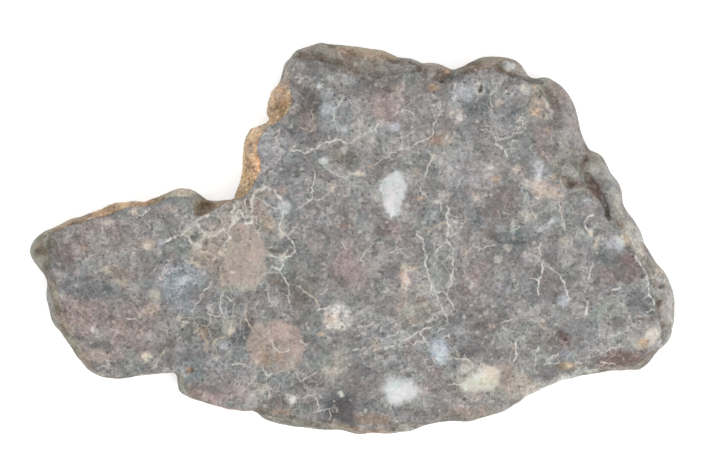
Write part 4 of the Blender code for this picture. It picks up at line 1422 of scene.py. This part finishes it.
def edge_distance(drawn, outline):
    """How far inside an outline each position lies, with positions outside it below nought."""
    outline = np.array(outline, float)
    nearest = np.full(len(drawn), np.inf)
    for start, end in zip(outline, np.roll(outline, -1, axis=0)):
        along = np.clip(((drawn - start) @ (end - start)) / np.sum((end - start) ** 2), 0, 1)
        nearest = np.minimum(nearest, np.hypot(*(drawn - start - along[:, None] * (end - start)).T))
    return np.where(inside(drawn, outline), nearest, -nearest)


def buried_fragments():
    """Fragments that lie too deep to reach the polished face, but show on the back and sides."""
    luck = random.Random(23)
    names = ["milk", "bone", "ice", "pearl", "rose", "blush", "slate", "teal", "plum", "maroon", "tan", "haze"]
    marks = []
    for _ in range(150):
        size = 4 + 26 * luck.random() ** 3
        x, y = luck.uniform(30, 675), luck.uniform(45, 432)
        height = size * luck.uniform(0.7, 1.0)
        marks.append((x, y, size, height, luck.uniform(0, 180), luck.choice(names), luck.uniform(0.35, 0.8)))
    return marks


def stone_tones(places, on_rim):
    """The colour of the stone at each place, before the grain that the finish adds."""
    drawn = leaned(places)
    depth = (THICKNESS - places[:, 2]) / UNIT
    tone = np.tile(paint("ash"), (len(places), 1))
    broad = wobbled(drawn, places, 26, 9, 1.0)
    tints = [(x, y, width, height, 0, colour, amount) for x, y, width, height, colour, amount in TINTS]
    tone = stained(tone, broad, depth, tints, 0.55, 1.4)
    ragged = wobbled(wobbled(drawn, places, 7, 2.4, 2.0), places, 2.6, 1.0, 3.0)
    for outline, colour, amount, softness in OUTLINED_FRAGMENTS:
        near = np.abs(ragged - np.mean(outline, axis=0)).max(axis=1) < 60
        deep = edge_distance(ragged[near], outline) - depth[near] * 0.5
        share = amount * eased(-softness, softness, deep)
        tone[near] += (paint(colour) - tone[near]) * share[:, None]
    tone = stained(tone, ragged, depth, FRAGMENTS, 0.32, 0.8)
    deep = np.maximum(DEEPEST - depth, 0)
    tone = stained(tone, ragged, deep, buried_fragments(), 0.2, 0.6)
    skin = tone + (paint("skin") - tone) * 0.45
    skin = stained(skin, ragged, np.maximum(depth - 22, 0), SKIN_TINTS, 0.35, 1.3)
    return tone + (skin - tone) * on_rim[:, None]


vein_points = drawn_veins()


# The two sawn faces
# Both are cut flat: the front is polished, with a few gas holes opened by the cut, and the back is left
# as the saw made it. Points lie thickest along the veins, so that a vein has clean edges.

FRONT_GRID = 0.000142
BACK_GRID = 0.00034
SMALL_HOLES = 26

# Gas holes in the polished face: x and y in the drawing, half width, half height and depth in metres
GAS_HOLES = [
    (480, 89, 0.00012, 0.00028, 0.00022),
    (266, 393, 0.00014, 0.00013, 0.00016),
    (181, 319, 0.00013, 0.00012, 0.00013),
    (84, 312, 0.00015, 0.00011, 0.00012),
    (565, 339, 0.00016, 0.00014, 0.00010),
    (192, 370, 0.00013, 0.00013, 0.00012),
]


def small_holes():
    """The least gas holes, placed at random."""
    luck = random.Random(5)
    holes = []
    while len(holes) < SMALL_HOLES:
        x, y = luck.uniform(70, 640), luck.uniform(80, 410)
        spot = on_stone([(x, y)])
        if inside(spot, rim[0, :, :2])[0]:
            across = luck.uniform(0.00005, 0.00009)
            holes.append((x, y, across, across * luck.uniform(0.7, 1.3), across * 1.1))
    return holes


def hole_points(holes):
    """Rings of points in and round each gas hole."""
    points = []
    for x, y, across, along, _ in holes:
        middle = on_stone([(x, y)])[0]
        points.append(middle)
        for share in (0.45, 0.8, 1.0, 1.2):
            for turn in range(10):
                angle = (turn + share) * math.tau / 10
                points.append(middle + share * np.array([across * math.cos(angle), along * math.sin(angle)]))
    return np.array(points)


def thinned(points, spacing, tree):
    """The points that keep at least the spacing from those in the tree."""
    gaps, _ = gaps_to(tree, points)
    return points[gaps > spacing]


def thinned_among(points, spacing):
    """The points, without those that crowd an earlier one."""
    kept = {}
    for point in points:
        cell = tuple((point // spacing).astype(int))
        near = [kept.get((cell[0] + i, cell[1] + j)) for i in (-1, 0, 1) for j in (-1, 0, 1)]
        if all(other is None or np.hypot(*(point - other)) > spacing for other in near):
            kept[cell] = point
    return np.array(list(kept.values()))


def grid_points(loop, spacing):
    """Points spread over the loop in a jittered triangular grid."""
    luck = np.random.default_rng(3)
    low, high = loop.min(axis=0), loop.max(axis=0)
    columns = np.arange(low[0], high[0], spacing)
    rows = np.arange(low[1], high[1], spacing * math.sqrt(3) / 2)
    x, y = np.meshgrid(columns, rows)
    x[1::2] += spacing / 2
    points = np.column_stack([x.ravel(), y.ravel()])
    points += luck.uniform(-0.22, 0.22, points.shape) * spacing
    return points[inside(points, loop)]


def cut_face(loop, spacing, first_points):
    """Points inside the loop, and the triangles over loop and points together."""
    edge_tree = tree_of(loop)
    kept = first_points[inside(first_points, loop)]
    kept = thinned(kept, spacing * 0.35, edge_tree)
    spread = thinned(grid_points(loop, spacing), spacing * 0.6, edge_tree)
    spread = thinned(spread, spacing * 0.5, tree_of(kept))
    inner = np.vstack([kept, spread])
    everything = np.vstack([loop, inner]) * 1000
    result = delaunay_2d_cdt([Vector(p) for p in everything], [], [list(range(len(loop)))], 1, 1e-6)
    corners = [row[0] for row in result[3]]
    return inner, np.array([[corners[number] for number in face] for face in result[2]])


front_loop = rim[0, :, :2]
inner_ring = front_loop + edge_in * WORN_BAND
holes = GAS_HOLES + small_holes()
vein_places = on_stone(vein_points[:, :2])
beside_veins = [vein_places + np.array(step) * UNIT * 1.1 for step in ((0.7, 0.7), (-0.7, -0.7))]
front_first = [hole_points(holes), thinned_among(vein_places, 0.00005)]
front_first += [thinned_among(inner_ring, 0.00007), thinned_among(np.vstack(beside_veins), 0.00008)]
crowd = front_first[0]
for more in front_first[1:]:
    crowd = np.vstack([crowd, thinned(more, 0.000045, tree_of(crowd))])
front_inner, front_faces = cut_face(front_loop, FRONT_GRID, crowd)

back_loop = rim[-1, :, :2]
back_veins = thinned_among(unleaned(vein_points[:, :2]), 0.00018)
back_inner, back_faces = cut_face(back_loop, BACK_GRID, back_veins)

front_heights = np.full(len(front_inner), float(THICKNESS))
for x, y, across, along, depth in holes:
    apart = front_inner - on_stone([(x, y)])
    reach = np.hypot(apart[:, 0] / across, apart[:, 1] / along)
    front_heights -= depth * np.sqrt(np.clip(1 - reach**2, 0, 1))

# The stone, joined into one closed mesh
# Rim, front and back share their edge points, so the slice has no seam and no gap. Each point keeps its
# colour, how near the closest vein is, and whether it lies on the skin, for the finish to read.

rim_count = rim.shape[0] * rim.shape[1]
places = np.vstack(
    [
        rim.reshape(-1, 3),
        np.column_stack([front_inner, front_heights]),
        np.column_stack([back_inner, np.zeros(len(back_inner))]),
    ]
)
numbers = np.arange(rim_count).reshape(rim.shape[:2])
beside = np.roll(numbers, -1, axis=1)
rim_faces = np.stack([numbers[:-1], numbers[1:], beside[1:], beside[:-1]], axis=-1).reshape(-1, 4)
front_faces = np.where(front_faces < RIM_COLUMNS, front_faces, front_faces - RIM_COLUMNS + rim_count)
back_start = rim_count + len(front_inner)
last_row = rim_count - RIM_COLUMNS
back_faces = np.where(back_faces < RIM_COLUMNS, back_faces + last_row, back_faces - RIM_COLUMNS + back_start)
back_faces = back_faces[:, ::-1]

stone_mesh = bpy.data.meshes.new("lunar_slice")
stone_mesh.from_pydata(places.tolist(), [], rim_faces.tolist() + front_faces.tolist() + back_faces.tolist())
kinds = np.concatenate(
    [np.full(len(rim_faces), 1), np.zeros(len(front_faces), int), np.full(len(back_faces), 2)]
)

on_rim = np.zeros(len(places))
on_rim[:rim_count] = (rim_fade * np.ones(RIM_COLUMNS)).ravel()
tones = stone_tones(places, on_rim)
vein_gaps, vein_numbers = gaps_to(tree_of(vein_points[:, :2]), leaned(places))
vein_half, vein_tan, vein_strength = vein_points[vein_numbers, 2:].T
cavity = np.zeros(len(places))
cavity[:rim_count] = rim_cavity.ravel()
sugar = np.zeros(len(places))
sugar[:rim_count] = share_among(places[:rim_count], SUGARY_PLACES)

facts = {
    "vein_gap": vein_gaps,
    "vein_half": vein_half,
    "vein_tan": vein_tan,
    "vein_strength": vein_strength * (1 - 0.7 * on_rim),
    "cavity": cavity,
    "cracked": np.maximum(share_among(places, CRACKED_PLACES), 0.1),
    "sugary": sugar,
}
for name, values in facts.items():
    layer = stone_mesh.attributes.new(name, "FLOAT", "POINT")
    layer.data.foreach_set("value", values.astype(np.float32))
tone_layer = stone_mesh.attributes.new("tone", "FLOAT_COLOR", "POINT")
tone_layer.data.foreach_set("color", tones.astype(np.float32).ravel())


# The finish of the stone
# The front has a satin polish, the back a dull sawn surface, and the rim a dry, rough skin. All three
# show the same broken rock: small fragments, fine grain, dark specks and hairlines under the veins.


def add(tree, kind, sockets=None, **settings):
    """A node with its settings, its inputs set to values or joined to other nodes."""
    made = tree.nodes.new(kind)
    for name, value in settings.items():
        setattr(made, name, value)
    for name, value in (sockets or {}).items():
        if isinstance(value, bpy.types.NodeSocket):
            tree.links.new(value, made.inputs[name])
        else:
            made.inputs[name].default_value = value
    return made


def group_of(name, inputs, outputs):
    """An empty node group with named inputs, each a float with its usual value, and named outputs."""
    tree = bpy.data.node_groups.new(name, "ShaderNodeTree")
    for title, value in inputs.items():
        kind = "NodeSocketVector" if value is None else "NodeSocketFloat"
        socket = tree.interface.new_socket(title, in_out="INPUT", socket_type=kind)
        if value is not None:
            socket.default_value = value
    for title, kind in outputs.items():
        tree.interface.new_socket(title, in_out="OUTPUT", socket_type=kind)
    return tree, add(tree, "NodeGroupInput").outputs, add(tree, "NodeGroupOutput").inputs


def stepped(tree, value, low, high, to_low=0.0, to_high=1.0):
    """A value turned smoothly into another range."""
    sockets = {"Value": value, "From Min": low, "From Max": high, "To Min": to_low, "To Max": to_high}
    return add(tree, "ShaderNodeMapRange", sockets, interpolation_type="SMOOTHSTEP").outputs["Result"]


def sum_of(tree, operation, first, second):
    """Two values added, multiplied or otherwise put together."""
    return add(tree, "ShaderNodeMath", {0: first, 1: second}, operation=operation).outputs[0]


def mixed(tree, share, first, second, blend="MIX"):
    """Two colours mixed by a share."""
    sockets = {0: share, 6: first, 7: second}
    return add(tree, "ShaderNodeMix", sockets, data_type="RGBA", blend_type=blend).outputs[2]


def small_fragments():
    """Small ragged fragments of one size: where they lie, and how pale each is."""
    inputs = {"Place": None, "Size": 0.6, "Share": 0.4, "Softness": 0.15, "Shift": 0.0}
    tree, given, made = group_of("small fragments", inputs, {"Mask": "NodeSocketFloat", "Paleness": "NodeSocketFloat"})
    scale = sum_of(tree, "DIVIDE", 1.0, given["Size"])
    moved = add(tree, "ShaderNodeVectorMath", {0: given["Place"], 1: given["Shift"]}, operation="ADD").outputs[0]
    close = sum_of(tree, "MULTIPLY", scale, 2.2)
    wavy = add(tree, "ShaderNodeTexNoise", {"Vector": moved, "Scale": close, "Detail": 2.0})
    centred = add(tree, "ShaderNodeVectorMath", {0: wavy.outputs["Color"], 1: (0.5, 0.5, 0.5)}, operation="SUBTRACT")
    reach = sum_of(tree, "MULTIPLY", given["Size"], 0.9)
    pushed = add(tree, "ShaderNodeVectorMath", {0: centred.outputs[0], "Scale": reach}, operation="SCALE")
    ragged = add(tree, "ShaderNodeVectorMath", {0: moved, 1: pushed.outputs[0]}, operation="ADD").outputs[0]
    cells = add(tree, "ShaderNodeTexVoronoi", {"Vector": ragged, "Scale": scale})
    parts = add(tree, "ShaderNodeSeparateColor", {"Color": cells.outputs["Color"]}).outputs
    radius = stepped(tree, parts["Blue"], 0.0, 1.0, 0.24, 0.58)
    inner = sum_of(tree, "SUBTRACT", radius, given["Softness"])
    body = add(
        tree,
        "ShaderNodeMapRange",
        {"Value": cells.outputs["Distance"], "From Min": radius, "From Max": inner},
        interpolation_type="SMOOTHSTEP",
    ).outputs["Result"]
    chosen = sum_of(tree, "LESS_THAN", parts["Red"], given["Share"])
    tree.links.new(sum_of(tree, "MULTIPLY", body, chosen), made["Mask"])
    tree.links.new(parts["Green"], made["Paleness"])
    return tree


def crushed_rock():
    """Crushed rock of one grain size: each grain with its own shade and its own lean to pink or green."""
    inputs = {"Place": None, "Size": 0.6, "Shade": 0.2, "Lean": 0.1, "Shift": 0.0}
    tree, given, made = group_of("crushed rock", inputs, {"Factor": "NodeSocketVector"})
    scale = sum_of(tree, "DIVIDE", 1.0, given["Size"])
    moved = add(tree, "ShaderNodeVectorMath", {0: given["Place"], 1: given["Shift"]}, operation="ADD").outputs[0]
    close = sum_of(tree, "MULTIPLY", scale, 1.6)
    wavy = add(tree, "ShaderNodeTexNoise", {"Vector": moved, "Scale": close, "Detail": 3.0})
    centred = add(tree, "ShaderNodeVectorMath", {0: wavy.outputs["Color"], 1: (0.5, 0.5, 0.5)}, operation="SUBTRACT")
    reach = sum_of(tree, "MULTIPLY", given["Size"], 0.55)
    pushed = add(tree, "ShaderNodeVectorMath", {0: centred.outputs[0], "Scale": reach}, operation="SCALE")
    ragged = add(tree, "ShaderNodeVectorMath", {0: moved, 1: pushed.outputs[0]}, operation="ADD").outputs[0]
    cells = add(tree, "ShaderNodeTexVoronoi", {"Vector": ragged, "Scale": scale})
    parts = add(tree, "ShaderNodeSeparateColor", {"Color": cells.outputs["Color"]}).outputs
    shade = sum_of(tree, "MULTIPLY", sum_of(tree, "SUBTRACT", parts["Red"], 0.5), given["Shade"])
    lean = sum_of(tree, "MULTIPLY", sum_of(tree, "SUBTRACT", parts["Green"], 0.5), given["Lean"])
    pale = sum_of(tree, "ADD", shade, 1.0)
    red = sum_of(tree, "ADD", pale, lean)
    green = sum_of(tree, "SUBTRACT", pale, sum_of(tree, "MULTIPLY", lean, 0.45))
    blue = sum_of(tree, "SUBTRACT", pale, sum_of(tree, "MULTIPLY", lean, 0.2))
    factor = add(tree, "ShaderNodeCombineXYZ", {"X": red, "Y": green, "Z": blue})
    tree.links.new(factor.outputs[0], made["Factor"])
    return tree


def hairlines():
    """A net of fine cracks filled with pale mineral, broken here and there."""
    tree, given, made = group_of("hairlines", {"Place": None, "Size": 1.7, "Width": 0.02}, {"Mask": "NodeSocketFloat"})
    wavy = add(tree, "ShaderNodeTexNoise", {"Vector": given["Place"], "Scale": 0.9, "Detail": 3.0})
    centred = add(tree, "ShaderNodeVectorMath", {0: wavy.outputs["Color"], 1: (0.5, 0.5, 0.5)}, operation="SUBTRACT")
    pushed = add(tree, "ShaderNodeVectorMath", {0: centred.outputs[0], "Scale": 0.7}, operation="SCALE")
    ragged = add(tree, "ShaderNodeVectorMath", {0: given["Place"], 1: pushed.outputs[0]}, operation="ADD").outputs[0]
    scale = sum_of(tree, "DIVIDE", 1.0, given["Size"])
    cells = add(tree, "ShaderNodeTexVoronoi", {"Vector": ragged, "Scale": scale}, feature="DISTANCE_TO_EDGE")
    line = add(
        tree,
        "ShaderNodeMapRange",
        {"Value": cells.outputs["Distance"], "From Min": given["Width"], "From Max": 0.0},
        interpolation_type="SMOOTHSTEP",
    ).outputs["Result"]
    gaps = add(tree, "ShaderNodeTexNoise", {"Vector": given["Place"], "Scale": 0.55, "Detail": 2.0}).outputs["Fac"]
    cracked = add(tree, "ShaderNodeAttribute", attribute_name="cracked").outputs["Fac"]
    shown = sum_of(tree, "MULTIPLY", stepped(tree, gaps, 0.36, 0.56), cracked)
    tree.links.new(sum_of(tree, "MULTIPLY", line, shown), made["Mask"])
    return tree


def vein_mask():
    """The cream veins, from each point's distance to the nearest one, with a frayed edge."""
    inputs = {"Place": None, "Fray": 1.3}
    tree, given, made = group_of("vein mask", inputs, {"Mask": "NodeSocketFloat", "Tan": "NodeSocketFloat"})
    gap, half, tan, strength = (
        add(tree, "ShaderNodeAttribute", attribute_name=name).outputs["Fac"]
        for name in ("vein_gap", "vein_half", "vein_tan", "vein_strength")
    )
    fine = add(tree, "ShaderNodeTexNoise", {"Vector": given["Place"], "Scale": 7.0, "Detail": 2.0}).outputs["Fac"]
    fray = sum_of(tree, "MULTIPLY", sum_of(tree, "SUBTRACT", fine, 0.5), given["Fray"])
    gap = sum_of(tree, "ADD", gap, fray)
    outer = sum_of(tree, "ADD", half, 0.58)
    inner = sum_of(tree, "SUBTRACT", half, 0.3)
    line = add(
        tree,
        "ShaderNodeMapRange",
        {"Value": gap, "From Min": outer, "From Max": inner},
        interpolation_type="SMOOTHSTEP",
    ).outputs["Result"]
    broken = add(tree, "ShaderNodeTexNoise", {"Vector": given["Place"], "Scale": 3.2, "Detail": 3.0}).outputs["Fac"]
    kept = stepped(tree, broken, 0.36, 0.56, 0.45, 1.0)
    full = sum_of(tree, "MULTIPLY", sum_of(tree, "MULTIPLY", line, strength), kept)
    tree.links.new(full, made["Mask"])
    tree.links.new(tan, made["Tan"])
    return tree


def grouped(tree, group, sockets):
    """A node group in use, its inputs set or joined by name."""
    return add(tree, "ShaderNodeGroup", sockets, node_tree=group).outputs


def broken_rock():
    """The colour of the breccia: its tone, with crushed grains, fragments, specks, hairlines and veins."""
    inputs = {"Contrast": 1.0, "Grain": 1.0, "Hairlines": 0.3}
    outputs = {"Colour": "NodeSocketColor", "Height": "NodeSocketFloat", "Veins": "NodeSocketFloat"}
    tree, given, made = group_of("broken rock", inputs, outputs)
    metres = add(tree, "ShaderNodeTexCoord").outputs["Object"]
    place = add(tree, "ShaderNodeVectorMath", {0: metres, "Scale": 1000.0}, operation="SCALE").outputs[0]
    tone = add(tree, "ShaderNodeAttribute", attribute_name="tone").outputs
    colour = tone["Color"]
    uneven = sum_of(tree, "SUBTRACT", 1.0, tone["Alpha"])
    contrast = sum_of(tree, "MULTIPLY", given["Contrast"], uneven)
    grain = sum_of(tree, "MULTIPLY", given["Grain"], stepped(tree, uneven, 0.0, 1.0, 0.3, 1.0))
    for size, shade, lean, shift in ((1.3, 0.34, 0.08, 3.0), (0.55, 0.45, 0.05, 8.0), (0.17, 0.50, 0.03, 5.0)):
        shade = sum_of(tree, "MULTIPLY", contrast, shade)
        sockets = {"Place": place, "Size": size, "Shade": shade, "Lean": lean, "Shift": shift}
        factor = grouped(tree, crushed_group, sockets)["Factor"]
        colour = add(tree, "ShaderNodeVectorMath", {0: colour, 1: factor}, operation="MULTIPLY").outputs[0]
    pieces = ((1.4, 0.4, 0.22, 0.0, 0.44), (0.7, 0.35, 0.24, 9.0, 0.50), (0.34, 0.35, 0.24, 4.0, 0.52))
    for size, share, softness, shift, amount in pieces:
        sockets = {"Place": place, "Size": size, "Share": share, "Softness": softness, "Shift": shift}
        scattered = grouped(tree, fragment_group, sockets)
        ramp = add(tree, "ShaderNodeValToRGB", {"Fac": scattered["Paleness"]})
        stops = ((0.0, "charcoal"), (0.2, "umber"), (0.4, "plum"), (0.55, "slate"), (0.7, "blush"), (0.88, "bone"))
        while len(ramp.color_ramp.elements) < len(stops):
            ramp.color_ramp.elements.new(0.5)
        for element, (position, name) in zip(ramp.color_ramp.elements, stops):
            element.position = position
            element.color = (*linear(STONE_COLOURS[name]), 1)
        weight = sum_of(tree, "MULTIPLY", scattered["Mask"], sum_of(tree, "MULTIPLY", contrast, amount))
        colour = mixed(tree, weight, colour, ramp.outputs["Color"])
    cloud = add(tree, "ShaderNodeTexNoise", {"Vector": place, "Scale": 1.0, "Detail": 5.0, "Roughness": 0.65})
    fine = add(tree, "ShaderNodeTexNoise", {"Vector": place, "Scale": 6.0, "Detail": 3.0}).outputs["Fac"]
    finest = add(tree, "ShaderNodeTexNoise", {"Vector": place, "Scale": 13.0, "Detail": 2.0}).outputs["Fac"]
    swing = sum_of(tree, "MULTIPLY", sum_of(tree, "SUBTRACT", cloud.outputs["Fac"], 0.5), 0.8)
    swing = sum_of(tree, "ADD", swing, sum_of(tree, "MULTIPLY", sum_of(tree, "SUBTRACT", fine, 0.5), 0.9))
    swing = sum_of(tree, "ADD", swing, sum_of(tree, "MULTIPLY", sum_of(tree, "SUBTRACT", finest, 0.5), 1.05))
    swing = sum_of(tree, "ADD", sum_of(tree, "MULTIPLY", swing, grain), 1.0)
    colour = add(tree, "ShaderNodeVectorMath", {0: colour, "Scale": swing}, operation="SCALE").outputs[0]
    sockets = {"Place": place, "Size": 0.22, "Share": 0.16, "Softness": 0.18, "Shift": 6.0}
    specks = grouped(tree, fragment_group, sockets)["Mask"]
    specks = sum_of(tree, "MULTIPLY", specks, sum_of(tree, "MULTIPLY", contrast, 0.6))
    colour = mixed(tree, specks, colour, (*linear(STONE_COLOURS["charcoal"]), 1))
    for size, width, amount in ((1.7, 0.025, 1.0), (0.8, 0.04, 0.8)):
        faint = grouped(tree, hairline_group, {"Place": place, "Size": size, "Width": width})["Mask"]
        faint = sum_of(tree, "MULTIPLY", faint, sum_of(tree, "MULTIPLY", given["Hairlines"], amount))
        colour = mixed(tree, faint, colour, (*linear(STONE_COLOURS["bone"]), 1))
    veins = grouped(tree, vein_group, {"Place": place})
    white_vein, tan_vein = (*linear((230, 227, 221)), 1), (*linear((197, 180, 155)), 1)
    vein_colour = mixed(tree, veins["Tan"], white_vein, tan_vein)
    colour = mixed(tree, veins["Mask"], colour, vein_colour)
    tree.links.new(colour, made["Colour"])
    tree.links.new(sum_of(tree, "ADD", fine, finest), made["Height"])
    tree.links.new(veins["Mask"], made["Veins"])
    return tree


def new_finish(name, roughness):
    """A material with its shader and the rock's colour in it."""
    material = bpy.data.materials.new(name)
    material.use_nodes = True
    tree = material.node_tree
    shader = tree.nodes["Principled BSDF"]
    shader.inputs["Roughness"].default_value = roughness
    return material, tree, shader, add(tree, "ShaderNodeGroup", node_tree=rock_group)


fragment_group = small_fragments()
crushed_group = crushed_rock()
hairline_group = hairlines()
vein_group = vein_mask()
rock_group = broken_rock()

polished, tree, shader, rock = new_finish("polished_breccia", 0.38)
rock.inputs["Hairlines"].default_value = 0.68
tree.links.new(rock.outputs["Colour"], shader.inputs["Base Color"])
rougher = stepped(tree, rock.outputs["Veins"], 0.0, 1.0, 0.36, 0.55)
tree.links.new(rougher, shader.inputs["Roughness"])
bump = add(tree, "ShaderNodeBump", {"Height": rock.outputs["Height"], "Strength": 0.12, "Distance": 0.00002})
tree.links.new(bump.outputs["Normal"], shader.inputs["Normal"])
shader.inputs["Specular IOR Level"].default_value = 0.4

skin, tree, shader, rock = new_finish("weathered_skin", 0.85)
rock.inputs["Hairlines"].default_value = 0.25
rock.inputs["Contrast"].default_value = 0.85
# Where the skin lies sunken it is darkened towards a dust colour, partly as dirt and partly as painted shade in its
# hollows. On its crests it is paled, partly as wear and partly as a painted highlight.
cavity_fact = add(tree, "ShaderNodeAttribute", attribute_name="cavity").outputs["Fac"]
dust_and_painted_shade = stepped(tree, cavity_fact, 0.0, 1.0, 0.0, 0.6)
wear_and_painted_highlight = stepped(tree, cavity_fact, 0.0, -1.0, 0.0, 0.16)
dusty_and_shaded = mixed(tree, dust_and_painted_shade, rock.outputs["Colour"], (0.64, 0.57, 0.50, 1), "MULTIPLY")
worn_and_highlit = mixed(tree, wear_and_painted_highlight, dusty_and_shaded, (*linear((206, 202, 192)), 1))
tree.links.new(worn_and_highlit, shader.inputs["Base Color"])
bump = add(tree, "ShaderNodeBump", {"Height": rock.outputs["Height"], "Strength": 0.5, "Distance": 0.00004})
tree.links.new(bump.outputs["Normal"], shader.inputs["Normal"])
shader.inputs["Specular IOR Level"].default_value = 0.25

sawn, tree, shader, rock = new_finish("sawn_breccia", 0.62)
rock.inputs["Hairlines"].default_value = 0.3
tree.links.new(rock.outputs["Colour"], shader.inputs["Base Color"])
metres = add(tree, "ShaderNodeTexCoord").outputs["Object"]
turned = add(tree, "ShaderNodeMapping", {"Vector": metres, "Rotation": (0, 0, 0.3), "Scale": (1, 1, 0)})
saw = add(
    tree,
    "ShaderNodeTexWave",
    {"Vector": turned.outputs[0], "Scale": 900.0, "Distortion": 3.0, "Detail": 2.0},
)
marks = sum_of(tree, "ADD", rock.outputs["Height"], sum_of(tree, "MULTIPLY", saw.outputs["Fac"], 0.5))
bump = add(tree, "ShaderNodeBump", {"Height": marks, "Strength": 0.3, "Distance": 0.00003})
tree.links.new(bump.outputs["Normal"], shader.inputs["Normal"])

for finish in (polished, skin, sawn):
    stone_mesh.materials.append(finish)
stone_mesh.polygons.foreach_set("material_index", kinds.astype(np.int32))
stone_mesh.shade_smooth()
stone_mesh.set_sharp_from_angle(angle=math.radians(50))
stone_mesh.update()

stone = bpy.data.objects.new("lunar_slice", stone_mesh)
bpy.context.scene.collection.objects.link(stone)
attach(stone, "root")
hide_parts("meteorite_slice")


# The table under the slice
# A plain white sheet, far wider than the stone and faintly lit from below, so that it casts no shadow.

TABLE_SIZE = 1.2
TABLE_GLOW = 0.45

table_mesh = bpy.data.meshes.new("white_table")
half = TABLE_SIZE / 2
corners = [(-half, -half, 0), (half, -half, 0), (half, half, 0), (-half, half, 0)]
table_mesh.from_pydata([(x, y, -0.00002) for x, y, _ in corners], [], [(0, 1, 2, 3)])
table = bpy.data.objects.new("white_table", table_mesh)
bpy.context.scene.collection.objects.link(table)
white = bpy.data.materials.new("white_paper")
white.use_nodes = True
white.node_tree.nodes["Principled BSDF"].inputs["Base Color"].default_value = (0.9, 0.9, 0.9, 1)
white.node_tree.nodes["Principled BSDF"].inputs["Roughness"].default_value = 0.9
white.node_tree.nodes["Principled BSDF"].inputs["Specular IOR Level"].default_value = 0.1
white.node_tree.nodes["Principled BSDF"].inputs["Emission Color"].default_value = (1, 1, 1, 1)
white.node_tree.nodes["Principled BSDF"].inputs["Emission Strength"].default_value = TABLE_GLOW
table_mesh.materials.append(white)


# Studio light
# An even white surround, with one large soft lamp to the lower right, as over a copying table.

SURROUND = 0.87
LAMP_POWER = 0.77

studio = bpy.data.worlds.new("studio")
studio.use_nodes = True
studio.node_tree.nodes["Background"].inputs["Color"].default_value = (1, 1, 1, 1)
studio.node_tree.nodes["Background"].inputs["Strength"].default_value = SURROUND
bpy.context.scene.world = studio

lamp_light = bpy.data.lights.new("soft_lamp", "AREA")
lamp_light.shape = "DISK"
lamp_light.size = 0.25
lamp_light.energy = LAMP_POWER
lamp = bpy.data.objects.new("soft_lamp", lamp_light)
lamp.location = (0.17, -0.17, 0.32)
lamp.rotation_euler = (-lamp.location).to_track_quat("-Z", "Y").to_euler()
bpy.context.scene.collection.objects.link(lamp)
bpy.context.scene.view_settings.view_transform = "Standard"


# The camera
# It looks straight down from far off through a long lens, so the slice shows without perspective.

LENS = 350.0
VIEW_WIDTH = 708 * UNIT

camera_data = bpy.data.cameras.new("camera")
camera_data.lens = LENS
camera_data.sensor_width = 36.0
camera = bpy.data.objects.new("camera", camera_data)
middle = on_stone([(354, 236)])[0]
camera.location = (middle[0], middle[1], THICKNESS + VIEW_WIDTH * LENS / 36.0)
bpy.context.scene.collection.objects.link(camera)
bpy.context.scene.camera = camera
